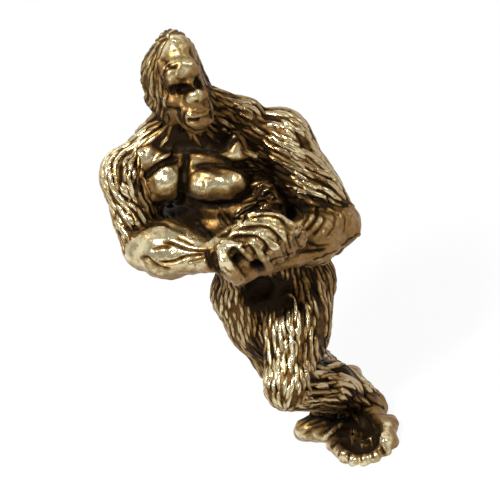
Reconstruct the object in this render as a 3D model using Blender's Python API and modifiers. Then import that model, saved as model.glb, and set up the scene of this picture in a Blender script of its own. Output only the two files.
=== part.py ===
"""Standing gorilla statue with folded arms, a small solid brass casting.

The figure is divided into the fifteen sections that a pattern maker would
carve and join: head, torso, hips, and for each side an upper arm, forearm,
hand, thigh, shin and foot.  Every section starts as overlapping rounded
masses hung on a skeleton of named points.  The masses are fused into one
skin, their neighbours are cut out of them with a seam between, and the two
soles are cut flat on the floor.

Blender metres, +Z up, the figure faces -Y.  Its own right side is at -X.
All sizes below are millimetres or degrees.
"""
import math

import bmesh
import bpy
from mathutils import Euler, Matrix, Vector

MM = 0.001

# Seams and skin
SEAM = 0.3              # gap between neighbouring sections
SKIN_VOXEL = 0.3        # grid on which the masses are fused
FINE_VOXEL = 0.2        # the same grid on the head, hands and feet
SKIN_SMOOTHING = 2      # passes that round the creases between masses
FLOOR_BLOCK = 60.0      # the block below the floor that cuts the soles flat

# Skeleton, in millimetres from the floor point under the figure
HEAD = (0.6, -1.4, 45.2)
NECK = (0.6, 0.6, 40.4)
CHEST = (-0.9, 0.4, 34.2)
WAIST = (0.4, 0.2, 27.0)
PELVIS = (0.9, 1.0, 19.8)
R_SHOULDER = (-8.0, -0.4, 37.6)
R_ELBOW = (-9.5, -4.2, 31.0)
R_WRIST = (-3.9, -9.8, 29.4)
R_PALM = (-0.9, -10.5, 30.3)
L_SHOULDER = (8.1, -1.2, 34.4)
L_ELBOW = (9.3, -4.6, 24.0)
L_WRIST = (0.6, -10.0, 26.4)
L_PALM = (-1.7, -11.0, 27.4)
R_HIP = (-2.4, 1.6, 18.6)
R_KNEE = (-2.2, 1.2, 10.4)
R_CALF = (-0.6, 5.2, 7.6)
R_ANKLE = (1.3, 10.4, 3.2)
L_HIP = (3.4, 0.6, 17.6)
L_KNEE = (-2.5, -6.0, 10.6)
L_CALF = (1.5, -2.7, 6.8)
L_ANKLE = (4.2, -1.0, 3.4)
R_HEEL = (1.2, 11.4, 0.0)
L_HEEL = (3.9, -0.2, 0.0)
# Root, knuckle, bend and tip of each finger, from the forefinger to the little one
R_FINGERS = (
    ((1.6, -10.3, 31.5), (3.9, -12.0, 31.0), (5.0, -12.2, 29.2), (4.9, -11.0, 26.9)),
    ((0.5, -10.6, 31.2), (2.8, -12.6, 30.8), (3.8, -12.9, 29.0), (3.6, -11.6, 26.8)),
    ((-0.4, -10.9, 30.8), (1.5, -12.8, 30.5), (2.4, -13.2, 28.9), (2.3, -12.0, 26.9)),
    ((-1.0, -11.1, 30.1), (0.4, -12.7, 29.9), (1.1, -13.0, 28.4), (1.0, -12.1, 26.8)))
L_THUMB = ((-2.4, -12.8, 27.3), (-2.7, -13.2, 29.5), (-2.6, -12.4, 30.8))
L_FOREFINGER = ((-2.0, -12.0, 31.0), (-0.9, -13.0, 30.3), (-0.3, -12.7, 28.9))

# Head
HEAD_TURN = (10, 15, 12)        # nod, tilt and turn in degrees
SKULL = (3.2, 3.8, 3.6)
DOME = (2.05, 2.8, 2.6)
FACE = (2.4, 1.9, 2.9)
NAPE_RADIUS = 1.7
BROW_RADIUS = 0.85
BROW_BULGE = (2.0, 1.05, 1.2)
MUZZLE = (1.85, 1.9, 1.9)
NOSE = (1.25, 1.0, 1.15)
UPPER_LIP = (1.65, 1.1, 0.75)
LOWER_LIP = (1.5, 1.1, 0.75)
CHIN = (1.4, 1.1, 0.9)
CHEEK_RADIUS = 0.85
JAW_RADIUS = 1.3
EAR = (0.45, 0.75, 0.85)
RIGHT_EYE = (0.75, 0.9, 0.5)
LEFT_EYE = (0.5, 0.8, 0.42)     # narrower, as the head turns away on that side
NOSTRIL_RADIUS = 0.26
MOUTH_RADIUS = 0.23

# Trunk
CHEST_TURN = (0, 14, -18)       # the chest leans and turns to its own right
RIBCAGE = (6.4, 4.6, 6.2)
UPPER_BACK = (7.2, 3.6, 4.4)
LAT = (2.7, 3.4, 4.8)
RIGHT_PEC = (1.55, 2.1, 2.35)
RIGHT_PEC_LEAN = 32
LEFT_PEC = (3.15, 2.2, 2.0)
RIGHT_COLLAR = (2.3, 1.0, 0.8)
RIGHT_COLLAR_LEAN = -34
LEFT_COLLAR = (2.5, 1.15, 1.1)
LEFT_COLLAR_LEAN = 10
NECK_RADIUS = 3.3
TRAPEZIUS_RADIUS = 2.5
SHOULDER_HAIR = ((3.4, -0.3, 40.5), (6.0, -0.9, 38.2))
SHOULDER_HAIR_RADIUS = 1.6
HAIR_TUFT = (5.7, -1.6, 38.6)
HAIR_TUFT_SIZE = (1.7, 1.1, 1.2)
HAIR_TUFT_LEAN = 35
BELLY = (6.9, 4.3, 5.4)
STOMACH_PLATE = (1.6, 1.0, 0.95)
RIB_MUSCLE_RADIUS = 1.1
SHOULDER_BLADE = (2.6, 1.6, 3.2)
SPINE = ((0.1, 6.3, 39.0), (0.6, 5.9, 25.0))
SPINE_RADIUS = 0.95
HIP_BONE = (5.9, 4.2, 4.4)
BUTTOCK_RADIUS = 3.4
CLEFT = ((1.0, 7.3, 21.5), (0.9, 6.6, 15.0))
CLEFT_RADIUS = 0.8
CROTCH = (-1.3, -4.2, 20.2)
CROTCH_HOLLOW = (2.1, 2.6, 1.5)
CROTCH_LEAN = -28
THIGH_CREASE = ((-0.9, -4.4, 19.6), (-2.7, -6.2, 14.6))
THIGH_CREASE_RADIUS = 0.55

# Arms and hands
SHOULDER = (2.9, 3.2, 3.5)
UPPER_ARM_RADIUS = 2.5
TRICEPS_RADIUS = 2.65
ELBOW_RADIUS = 2.55
RIGHT_FOREARM_RADIUS = 3.05
LEFT_FOREARM_RADIUS = 2.75
RIGHT_FOREARM_RISE = 0.2
LEFT_FOREARM_RISE = -0.1
RIGHT_WRIST_RADIUS = 1.75
LEFT_WRIST_RADIUS = 1.45
RIGHT_PALM = (2.2, 1.5, 1.6)
LEFT_PALM = (1.9, 1.5, 1.8)
FINGER_RADIUS = 0.66
THUMB_RADIUS = 0.78

# Legs and feet
THIGH_RADIUS = 3.6
KNEE_RADIUS = 2.8
RIGHT_CALF_RADIUS = 2.8
LEFT_CALF_RADIUS = 2.8
ANKLE_RADIUS = 1.9
FOOT_LENGTH = 11.4
FOOT_WIDTH = 7.2
FOOT_HEIGHT = 2.4
HEEL_RADIUS = 1.95
TOE_RADIUS = 0.8
TOE_SPREAD = 29                     # degrees from one toe to the next
HALLUX_RADIUS = 0.95
LEFT_HALLUX_TIP = (-7.8, 1.0)       # right and back of the heel, in the foot's own frame
RIGHT_HALLUX_TIP = (2.9, -6.4)
LEFT_FOOT_TURN = -14
LEFT_TOE_TURN = 10                  # the toes point nearly straight ahead again
RIGHT_FOOT_TURN = 2
RIGHT_TOE_TURN = 0

ROUNDNESS = 24          # segments round each mass before it is fused
METALLIC = 1.0

MODEL = "gorilla_statue"
CUTTERS = "gorilla_cutters"


def spot(point):
    """A skeleton point in millimetres as a vector."""
    return Vector(point)


def between(start, end, share, side=(0, 0, 0)):
    """The point a share of the way along a bone, moved aside in millimetres."""
    return spot(start).lerp(spot(end), share) + spot(side)


def turned(angles):
    """A turn about X, then Y, then Z, given in degrees."""
    return Euler([math.radians(a) for a in angles], "XYZ").to_matrix()


class Frame:
    """A local frame whose places are shares of the radii of its main mass."""

    def __init__(self, origin, turn, radii):
        self.origin = spot(origin)
        self.turn = turned(turn)
        self.radii = radii

    def at(self, right, back, up):
        local = Vector((right * self.radii[0], back * self.radii[1], up * self.radii[2]))
        return self.origin + self.turn @ local


def ball(skin, centre, radii, turn=None):
    """Add a rounded mass, an ellipsoid when its three radii differ."""
    if not hasattr(radii, "__len__"):
        radii = (radii, radii, radii)
    turn = turn or Matrix.Identity(3)
    size = Matrix.Diagonal([r * MM for r in radii] + [1])
    matrix = Matrix.Translation(spot(centre) * MM) @ turn.to_4x4() @ size
    bmesh.ops.create_uvsphere(skin, u_segments=ROUNDNESS, v_segments=ROUNDNESS // 2,
                              radius=1, matrix=matrix)


def limb(skin, start, end, start_radius, end_radius):
    """Add a tapered mass with round ends."""
    start, end = spot(start), spot(end)
    ball(skin, start, start_radius)
    ball(skin, end, end_radius)
    axis = end - start
    matrix = (Matrix.Translation((start + end) / 2 * MM)
              @ axis.to_track_quat("Z", "Y").to_matrix().to_4x4())
    bmesh.ops.create_cone(skin, cap_ends=True, segments=ROUNDNESS,
                          radius1=start_radius * MM, radius2=end_radius * MM,
                          depth=axis.length * MM, matrix=matrix)


def chain(skin, points, start_radius, end_radius):
    """Add a finger or toe: limbs through the points, thinning to the tip."""
    steps = len(points) - 1
    for i in range(steps):
        a = start_radius + (end_radius - start_radius) * i / steps
        b = start_radius + (end_radius - start_radius) * (i + 1) / steps
        limb(skin, points[i], points[i + 1], a, b)


def muscle(skin, start, end, share, length_share, radius, side=(0, 0, 0)):
    """Add a spindle along a bone, centred at a share of its length."""
    axis = spot(end) - spot(start)
    turn = axis.to_track_quat("Z", "Y").to_matrix()
    radii = (radius, radius, axis.length * length_share / 2)
    ball(skin, between(start, end, share, side), radii, turn)


HEAD_FRAME = Frame(HEAD, HEAD_TURN, SKULL)
CHEST_FRAME = Frame(CHEST, CHEST_TURN, RIBCAGE)
SIDES = (-1, 1)


def head(skin):
    frame = HEAD_FRAME
    turn = frame.turn
    ball(skin, frame.at(-0.03, 0.1, 0.11), SKULL, turn)
    ball(skin, frame.at(0.13, -0.03, 0.92), DOME, turn)
    limb(skin, frame.at(0.53, 0.26, 0.67), frame.at(0.84, 0.32, -0.67),
         NAPE_RADIUS * 0.8, NAPE_RADIUS)
    ball(skin, frame.at(0.03, -0.63, -0.11), FACE, turn)
    limb(skin, frame.at(-0.5, -0.79, 0.64), frame.at(0.3, -0.82, 0.69), BROW_RADIUS, BROW_RADIUS)
    ball(skin, frame.at(-0.09, -0.79, 0.83), BROW_BULGE, turn)
    ball(skin, frame.at(0.16, -1.05, -0.53), MUZZLE, turn)
    limb(skin, frame.at(0.03, -0.97, 0.53), frame.at(0.12, -1.29, 0.22),
         BROW_RADIUS * 0.6, BROW_RADIUS * 0.9)
    ball(skin, frame.at(0.16, -1.32, 0.06), NOSE, turn)
    ball(skin, frame.at(0.17, -1.29, -0.35), UPPER_LIP, turn)
    ball(skin, frame.at(0.19, -1.24, -0.72), LOWER_LIP, turn)
    ball(skin, frame.at(0.17, -1.08, -0.94), CHIN, turn)
    ball(skin, frame.at(-0.58, -0.76, -0.11), CHEEK_RADIUS)
    ball(skin, frame.at(0.66, -0.76, -0.19), CHEEK_RADIUS)
    for side in SIDES:
        ball(skin, frame.at(side * 0.97, 0.16, 0.08), EAR, turn)
        limb(skin, frame.at(side * 0.66, 0.1, -0.5), frame.at(side * 0.44, -0.53, -0.83),
             JAW_RADIUS, JAW_RADIUS * 0.75)


def face_hollows(skin):
    frame = HEAD_FRAME
    ball(skin, frame.at(-0.38, -1.08, 0.33), RIGHT_EYE, frame.turn)
    ball(skin, frame.at(0.3, -1.08, 0.35), LEFT_EYE, frame.turn)
    ball(skin, frame.at(0, -1.6, 0.07), NOSTRIL_RADIUS)
    ball(skin, frame.at(0.23, -1.6, 0.01), NOSTRIL_RADIUS)
    limb(skin, frame.at(-0.31, -1.5, -0.5), frame.at(0.38, -1.58, -0.53), MOUTH_RADIUS, MOUTH_RADIUS)


def torso(skin):
    frame = CHEST_FRAME
    turn = frame.turn
    ball(skin, frame.at(0, 0.05, 0), RIBCAGE, turn)
    ball(skin, frame.at(0, 0.35, 0.35), UPPER_BACK, turn)
    for side in SIDES:
        ball(skin, frame.at(side * 0.77, 0.3, -0.27), LAT, turn)
        ball(skin, frame.at(side * 0.55, 0.93, 0.31), SHOULDER_BLADE, turn)
    limb(skin, NECK, HEAD, NECK_RADIUS, NECK_RADIUS * 0.88)
    limb(skin, NECK, R_SHOULDER, NECK_RADIUS * 0.8, TRAPEZIUS_RADIUS)
    limb(skin, NECK, L_SHOULDER, NECK_RADIUS * 0.76, TRAPEZIUS_RADIUS)
    limb(skin, *SHOULDER_HAIR, SHOULDER_HAIR_RADIUS, SHOULDER_HAIR_RADIUS)
    ball(skin, HAIR_TUFT, HAIR_TUFT_SIZE, turned((0, HAIR_TUFT_LEAN, 0)))
    ball(skin, frame.at(-0.5, -0.82, 0.08), RIGHT_PEC, turn @ turned((0, RIGHT_PEC_LEAN, 0)))
    ball(skin, frame.at(0.37, -0.83, 0.05), LEFT_PEC, turn)
    ball(skin, frame.at(-0.55, -0.76, 0.48), RIGHT_COLLAR, turn @ turned((0, RIGHT_COLLAR_LEAN, 0)))
    ball(skin, frame.at(0.67, -0.74, 0.54), LEFT_COLLAR, turn @ turned((0, LEFT_COLLAR_LEAN, 0)))
    ball(skin, frame.at(0.14, -0.85, -0.68), STOMACH_PLATE, turn)
    ribs = (frame.at(0.53, -0.76, -0.53), frame.at(1.03, -0.63, -0.19), frame.at(1.16, -0.57, -0.65))
    chain(skin, ribs, RIB_MUSCLE_RADIUS, RIB_MUSCLE_RADIUS * 1.18)
    limb(skin, CHEST, WAIST, RIBCAGE[1] * 0.89, BELLY[1] * 0.95)
    ball(skin, between(WAIST, CHEST, 0.15), BELLY)


def spine_hollow(skin):
    limb(skin, *SPINE, SPINE_RADIUS, SPINE_RADIUS)


def hips(skin):
    limb(skin, PELVIS, WAIST, HIP_BONE[2], BELLY[0] * 0.8)
    ball(skin, PELVIS, HIP_BONE)
    for hip, back in ((R_HIP, 0.7), (L_HIP, 0.9)):
        ball(skin, hip, THIGH_RADIUS * 1.03)
        ball(skin, between(hip, PELVIS, 0.2, (0, BUTTOCK_RADIUS * back, 0)), BUTTOCK_RADIUS)


def hip_hollows(skin):
    """The cleft behind, and the deep hollow between the belly and the thighs."""
    limb(skin, *CLEFT, CLEFT_RADIUS, CLEFT_RADIUS)
    thigh_hollows(skin)


def thigh_hollows(skin):
    ball(skin, CROTCH, CROTCH_HOLLOW, turned((0, CROTCH_LEAN, 0)))
    limb(skin, *THIGH_CREASE, THIGH_CREASE_RADIUS, THIGH_CREASE_RADIUS * 0.65)


def upper_arm(skin, shoulder, elbow):
    ball(skin, between(shoulder, elbow, 0.08), SHOULDER)
    limb(skin, shoulder, elbow, UPPER_ARM_RADIUS, ELBOW_RADIUS * 0.9)
    muscle(skin, shoulder, elbow, 0.6, 0.9, TRICEPS_RADIUS, (0, TRICEPS_RADIUS * 0.15, 0))


def right_upper_arm(skin):
    upper_arm(skin, R_SHOULDER, R_ELBOW)


def left_upper_arm(skin):
    upper_arm(skin, L_SHOULDER, L_ELBOW)


def forearm(skin, elbow, wrist, rise, belly_radius, wrist_radius):
    """Thick near the elbow, where the muscle stands above the bone by the rise."""
    belly = between(elbow, wrist, 0.34, (0, 0, rise))
    limb(skin, elbow, belly, ELBOW_RADIUS, belly_radius)
    limb(skin, belly, wrist, belly_radius, wrist_radius)


def right_forearm(skin):
    forearm(skin, R_ELBOW, R_WRIST, RIGHT_FOREARM_RISE, RIGHT_FOREARM_RADIUS, RIGHT_WRIST_RADIUS)


def left_forearm(skin):
    forearm(skin, L_ELBOW, L_WRIST, LEFT_FOREARM_RISE, LEFT_FOREARM_RADIUS, LEFT_WRIST_RADIUS)


def right_hand(skin):
    """The hand that lies across the other wrist, its four fingers draped over it."""
    limb(skin, R_WRIST, R_PALM, RIGHT_WRIST_RADIUS * 0.9, RIGHT_PALM[2])
    ball(skin, R_PALM, RIGHT_PALM)
    for finger in R_FINGERS:
        chain(skin, finger, FINGER_RADIUS, FINGER_RADIUS * 0.88)


def left_hand(skin):
    """The half closed fist that shows below, its thumb and forefinger in a ring."""
    limb(skin, L_WRIST, L_PALM, LEFT_WRIST_RADIUS, LEFT_PALM[2] * 0.9)
    ball(skin, L_PALM, LEFT_PALM)
    chain(skin, L_THUMB, THUMB_RADIUS, THUMB_RADIUS * 0.9)
    chain(skin, L_FOREFINGER, FINGER_RADIUS, FINGER_RADIUS * 0.88)


def thigh(skin, hip, knee):
    limb(skin, hip, knee, THIGH_RADIUS, KNEE_RADIUS)
    muscle(skin, hip, knee, 0.4, 0.9, THIGH_RADIUS * 1.02, (0, -THIGH_RADIUS * 0.08, 0))


def right_thigh(skin):
    thigh(skin, R_HIP, R_KNEE)


def left_thigh(skin):
    thigh(skin, L_HIP, L_KNEE)


def shin(skin, knee, calf, ankle, calf_radius):
    limb(skin, knee, calf, KNEE_RADIUS * 0.96, calf_radius)
    limb(skin, calf, ankle, calf_radius, ANKLE_RADIUS)


def right_shin(skin):
    shin(skin, R_KNEE, R_CALF, R_ANKLE, RIGHT_CALF_RADIUS)


def left_shin(skin):
    shin(skin, L_KNEE, L_CALF, L_ANKLE, LEFT_CALF_RADIUS)


def foot(skin, ankle, heel, heading, toe_turn, hallux_tip):
    """A grasping foot: heel, arch, five toes in an arc and a splayed great toe."""
    turn = turned((0, 0, heading))

    def on_foot(right, back, up):
        return spot(heel) + turn @ Vector((right, back, up))

    fore = -FOOT_LENGTH * 0.5
    limb(skin, ankle, on_foot(0, 0, HEEL_RADIUS * 0.8), ANKLE_RADIUS, HEEL_RADIUS)
    limb(skin, on_foot(0, 0, HEEL_RADIUS * 0.8), on_foot(0, fore, FOOT_HEIGHT * 0.4),
         HEEL_RADIUS, FOOT_HEIGHT * 0.6)
    ball(skin, on_foot(0, fore * 0.8, FOOT_HEIGHT * 0.42),
         (FOOT_WIDTH / 2, FOOT_LENGTH * 0.27, FOOT_HEIGHT * 0.52), turn)
    for toe in range(5):
        angle = math.radians(TOE_SPREAD * (toe - 2) + toe_turn)
        root = on_foot(FOOT_WIDTH * 0.34 * math.sin(angle), fore * 0.95, FOOT_HEIGHT * 0.42)
        tip = on_foot((FOOT_WIDTH / 2 - TOE_RADIUS * 0.5) * math.sin(angle),
                      -FOOT_LENGTH * 0.8 + FOOT_LENGTH * 0.32 * (1 - math.cos(angle)),
                      TOE_RADIUS * 0.7)
        limb(skin, root, tip, TOE_RADIUS, TOE_RADIUS)
    side = 1 if hallux_tip[0] > 0 else -1
    root = on_foot(side * FOOT_WIDTH * 0.4, fore * 0.42, HALLUX_RADIUS * 1.3)
    limb(skin, on_foot(0, fore * 0.5, HALLUX_RADIUS * 1.3), root, HALLUX_RADIUS * 1.4, HALLUX_RADIUS * 1.4)
    limb(skin, root, on_foot(*hallux_tip, HALLUX_RADIUS * 0.85), HALLUX_RADIUS * 1.3, HALLUX_RADIUS)
    inner_ball = on_foot(side * FOOT_WIDTH * 0.43, fore * 0.82, HALLUX_RADIUS * 1.1)
    limb(skin, root, inner_ball, HALLUX_RADIUS * 1.3, HALLUX_RADIUS * 1.3)


def right_foot(skin):
    foot(skin, R_ANKLE, R_HEEL, RIGHT_FOOT_TURN, RIGHT_TOE_TURN, RIGHT_HALLUX_TIP)


def left_foot(skin):
    foot(skin, L_ANKLE, L_HEEL, LEFT_FOOT_TURN, LEFT_TOE_TURN, LEFT_HALLUX_TIP)


# Each section: its masses, hollows, fusing grid, triangles, colour and roughness
SECTIONS = (
    ("right_hand", right_hand, None, FINE_VOXEL, 1500, (0.60, 0.46, 0.24), 0.32),
    ("left_hand", left_hand, None, FINE_VOXEL, 1000, (0.58, 0.43, 0.22), 0.32),
    ("head", head, face_hollows, FINE_VOXEL, 2800, (0.66, 0.52, 0.28), 0.28),
    ("right_forearm", right_forearm, None, SKIN_VOXEL, 500, (0.68, 0.54, 0.28), 0.26),
    ("left_forearm", left_forearm, None, SKIN_VOXEL, 500, (0.66, 0.50, 0.25), 0.28),
    ("right_upper_arm", right_upper_arm, None, SKIN_VOXEL, 500, (0.46, 0.36, 0.20), 0.36),
    ("left_upper_arm", left_upper_arm, None, SKIN_VOXEL, 500, (0.52, 0.41, 0.23), 0.34),
    ("torso", torso, spine_hollow, SKIN_VOXEL, 2400, (0.50, 0.40, 0.22), 0.30),
    ("hips", hips, hip_hollows, SKIN_VOXEL, 900, (0.26, 0.19, 0.10), 0.42),
    ("left_thigh", left_thigh, thigh_hollows, SKIN_VOXEL, 600, (0.46, 0.34, 0.18), 0.36),
    ("right_thigh", right_thigh, thigh_hollows, SKIN_VOXEL, 600, (0.40, 0.28, 0.14), 0.40),
    ("left_foot", left_foot, None, FINE_VOXEL, 1100, (0.42, 0.33, 0.19), 0.38),
    ("right_foot", right_foot, None, FINE_VOXEL, 1000, (0.36, 0.27, 0.15), 0.42),
    ("left_shin", left_shin, None, SKIN_VOXEL, 500, (0.50, 0.36, 0.18), 0.34),
    ("right_shin", right_shin, None, SKIN_VOXEL, 450, (0.34, 0.24, 0.12), 0.42),
)
# The sections that each one makes room for
NEIGHBOURS = {
    "left_hand": ("right_hand",),
    "right_forearm": ("right_hand", "left_hand"),
    "left_forearm": ("right_hand", "left_hand", "right_forearm"),
    "right_upper_arm": ("right_forearm",),
    "left_upper_arm": ("left_forearm",),
    "torso": ("right_hand", "left_hand", "head", "right_forearm", "left_forearm",
              "right_upper_arm", "left_upper_arm"),
    "hips": ("left_hand", "right_forearm", "left_forearm", "torso"),
    "left_thigh": ("left_forearm", "hips"),
    "right_thigh": ("hips", "left_thigh"),
    "right_foot": ("left_foot",),
    "left_shin": ("left_foot", "right_foot", "left_thigh", "right_thigh"),
    "right_shin": ("left_foot", "right_foot", "left_thigh", "right_thigh", "left_shin"),
}


def clear_scene():
    for item in list(bpy.data.objects):
        bpy.data.objects.remove(item, do_unlink=True)


def collection(name):
    group = bpy.data.collections.get(name) or bpy.data.collections.new(name)
    if name not in bpy.context.scene.collection.children:
        bpy.context.scene.collection.children.link(group)
    return group


def brass(name, colour, roughness):
    """The brass of one section, in the tone that its patina and polish give it."""
    material = bpy.data.materials.new(name + "_brass")
    material.use_nodes = True
    shader = material.node_tree.nodes["Principled BSDF"]
    shader.inputs["Base Color"].default_value = (*colour, 1)
    shader.inputs["Metallic"].default_value = METALLIC
    shader.inputs["Roughness"].default_value = roughness
    return material


def new_object(name, mesh, group):
    item = bpy.data.objects.new(name, mesh)
    group.objects.link(item)
    return item


def evaluated_mesh(item):
    """The object's mesh with its modifiers applied."""
    bpy.context.view_layer.update()
    graph = bpy.context.evaluated_depsgraph_get()
    return bpy.data.meshes.new_from_object(item.evaluated_get(graph))


def fuse(item, voxel, smoothing):
    """Turn whatever overlaps in the object into one closed skin."""
    remesh = item.modifiers.new("fuse", "REMESH")
    remesh.mode = "VOXEL"
    remesh.voxel_size = voxel * MM
    smooth = item.modifiers.new("round", "SMOOTH")
    smooth.factor = 0.5
    smooth.iterations = round(smoothing)
    item.data = evaluated_mesh(item)
    item.modifiers.clear()


def fused(name, fill, voxel, group, smoothing=SKIN_SMOOTHING):
    """One closed skin over all the masses that fill adds."""
    skin = bmesh.new()
    fill(skin)
    mesh = bpy.data.meshes.new(name)
    skin.to_mesh(mesh)
    skin.free()
    item = new_object(name, mesh, group)
    fuse(item, voxel, smoothing)
    return item


def thin_out(item, triangles):
    """Reduce the skin to about that many triangles."""
    faces = sum(len(face.vertices) - 2 for face in item.data.polygons)
    reduce = item.modifiers.new("reduce", "DECIMATE")
    reduce.ratio = min(1.0, triangles / faces)
    reduce.use_collapse_triangulate = True
    item.data = evaluated_mesh(item)
    item.modifiers.clear()


def swollen(item, gap, group):
    """A copy of a section's skin pushed out by the seam."""
    copy = new_object(item.name + "_room", item.data.copy(), group)
    push = copy.modifiers.new("seam", "DISPLACE")
    push.strength = gap * MM
    push.mid_level = 0
    copy.data = evaluated_mesh(copy)
    copy.modifiers.clear()
    as_cutter(copy)
    return copy


def room_for(name, rooms, voxel, group):
    """One clean cutter over the rooms of all the neighbours of a section."""
    skin = bmesh.new()
    for room in rooms:
        skin.from_mesh(room.data)
    mesh = bpy.data.meshes.new(name)
    skin.to_mesh(mesh)
    skin.free()
    item = new_object(name, mesh, group)
    fuse(item, voxel, 0)
    as_cutter(item)
    return item


def as_cutter(item):
    item.hide_render = True
    item.display_type = "WIRE"


def cut(item, cutter):
    knife = item.modifiers.new("cut", "BOOLEAN")
    knife.operation = "DIFFERENCE"
    knife.object = cutter
    item.data = evaluated_mesh(item)
    item.modifiers.clear()


def floor_block(group):
    """Everything below the floor, which leaves the soles flat."""
    block = bmesh.new()
    bmesh.ops.create_cube(block, size=FLOOR_BLOCK * MM,
                          matrix=Matrix.Translation((0, 0, -FLOOR_BLOCK / 2 * MM)))
    mesh = bpy.data.meshes.new("below_floor")
    block.to_mesh(mesh)
    block.free()
    item = new_object("below_floor", mesh, group)
    as_cutter(item)
    return item


def keep_largest_body(item):
    """Drop the crumbs that a cut can leave beside the section."""
    skin = bmesh.new()
    skin.from_mesh(item.data)
    left = set(skin.verts)
    bodies = []
    while left:
        body, front = set(), [left.pop()]
        while front:
            vert = front.pop()
            body.add(vert)
            for edge in vert.link_edges:
                other = edge.other_vert(vert)
                if other in left:
                    left.discard(other)
                    front.append(other)
        bodies.append(body)
    bodies.sort(key=len)
    crumbs = [vert for body in bodies[:-1] for vert in body]
    bmesh.ops.delete(skin, geom=crumbs, context="VERTS")
    skin.to_mesh(item.data)
    skin.free()


def build():
    clear_scene()
    parts = collection(MODEL)
    cutters = collection(CUTTERS)
    below_floor = floor_block(cutters)
    room = {}
    for name, fill, hollows, voxel, triangles, colour, roughness in SECTIONS:
        item = fused(name, fill, voxel, parts)
        if hollows:
            hollow = fused(name + "_hollows", hollows, FINE_VOXEL, cutters, 1)
            as_cutter(hollow)
            cut(item, hollow)
            fuse(item, voxel, 1)
        room[name] = swollen(item, SEAM, cutters)
        if name in NEIGHBOURS:
            rooms = [room[neighbour] for neighbour in NEIGHBOURS[name]]
            cut(item, room_for(name + "_seams", rooms, FINE_VOXEL, cutters))
            fuse(item, voxel, 1)
        keep_largest_body(item)
        thin_out(item, triangles)
        if name.endswith("foot"):
            cut(item, below_floor)
        item.data.shade_smooth()
        item.data.materials.clear()
        item.data.materials.append(brass(name, colour, roughness))


if __name__ == "__main__":
    build()
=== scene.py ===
"""Gorilla statue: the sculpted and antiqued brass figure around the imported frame.

The figure is modelled the way a wax would be: rounded masses are blended over a
skeleton, the blend is skinned with a fine mesh, and muscles, wrinkles and fur are
then worked into that skin.  Sizes inside the sculpting part are millimetres.
"""
import functools
import math

import bpy
import numpy as np
from bpy.props import FloatProperty, FloatVectorProperty, IntProperty, PointerProperty
from mathutils import Euler, Matrix, Vector


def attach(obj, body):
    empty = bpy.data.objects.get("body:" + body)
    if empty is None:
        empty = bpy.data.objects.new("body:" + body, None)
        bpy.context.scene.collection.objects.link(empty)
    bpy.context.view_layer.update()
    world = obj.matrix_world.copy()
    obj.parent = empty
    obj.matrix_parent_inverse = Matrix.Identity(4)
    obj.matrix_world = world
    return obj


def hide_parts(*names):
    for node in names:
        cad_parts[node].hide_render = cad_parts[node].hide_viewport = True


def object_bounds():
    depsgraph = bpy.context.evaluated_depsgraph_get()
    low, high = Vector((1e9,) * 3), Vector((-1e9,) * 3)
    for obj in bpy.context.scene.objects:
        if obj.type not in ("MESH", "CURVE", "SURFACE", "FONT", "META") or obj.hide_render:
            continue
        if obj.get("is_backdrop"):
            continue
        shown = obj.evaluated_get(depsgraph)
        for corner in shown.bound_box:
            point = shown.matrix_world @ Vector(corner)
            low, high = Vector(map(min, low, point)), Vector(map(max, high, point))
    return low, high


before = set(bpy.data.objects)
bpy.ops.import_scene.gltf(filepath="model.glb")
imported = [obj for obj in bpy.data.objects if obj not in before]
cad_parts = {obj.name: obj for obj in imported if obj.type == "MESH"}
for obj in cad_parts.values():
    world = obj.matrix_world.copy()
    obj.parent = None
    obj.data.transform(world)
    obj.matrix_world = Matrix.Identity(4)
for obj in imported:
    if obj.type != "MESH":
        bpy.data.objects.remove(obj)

bl_info = {
    "name": "Gorilla Statue",
    "version": (1, 0, 0),
    "blender": (4, 5, 0),
    "location": "View3D > Sidebar > Statue",
    "description": "Sculpts a small antiqued brass gorilla around its packed frame",
    "category": "Add Mesh",
}

MM = 0.001
FAR = 9.0               # what the field reads where no mass is near
REACH = 3.5             # how far around itself a mass is worked out
SINK = 0.12             # the bare skin lies this far inside the solids, to leave room for relief
CELL = 0.24             # grid on which the figure is skinned, halved once afterwards
LOW = (-14.0, -16.0, -0.5)
HIGH = (14.0, 16.0, 53.0)
SETTLE_STEPS, LONGEST_MOVE = 2, 0.1     # in which the skin is pulled onto the exact surface
SOLE_HEIGHT = 1.5       # below this the skin comes down by degrees, so that the soles stand
JOINT_DEPTH = 0.9       # how far below the skin the joint faces inside the metal end
TUCK_STEPS = 3          # steps in which they are brought there
LEAST_SLOPE = 0.4       # of the field, below which it points nowhere

# Skeleton, in millimetres: x to the photograph's right, y away from it, z up from the soles.
# The limbs' right and left are the animal's own.
HEAD = (0.6, -1.4, 45.2)
NECK = (0.6, 0.6, 40.4)
CHEST = (-0.9, 0.4, 34.2)
WAIST = (0.4, 0.2, 27.0)
PELVIS = (0.9, 1.0, 19.8)
R_SHOULDER = (-8.0, -0.4, 37.6)
R_ELBOW = (-9.5, -4.2, 31.0)
R_WRIST = (-3.9, -9.8, 29.4)
R_PALM = (-0.9, -10.5, 30.3)
L_SHOULDER = (8.1, -1.2, 34.4)
L_ELBOW = (9.3, -4.6, 24.0)
L_WRIST = (0.6, -10.0, 26.4)
L_PALM = (-1.7, -11.0, 27.4)
R_HIP = (-2.4, 1.6, 18.6)
R_KNEE = (-2.2, 1.2, 10.4)
R_CALF = (-0.6, 5.2, 7.6)
R_ANKLE = (1.3, 10.4, 3.2)
L_HIP = (3.4, 0.6, 17.6)
L_KNEE = (-2.5, -6.0, 10.6)
L_CALF = (1.4, -2.7, 6.8)
L_ANKLE = (3.4, -1.1, 3.4)
R_HEEL = (1.2, 11.4, 0.0)
L_HEEL = (3.9, -0.2, 0.0)
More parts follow.
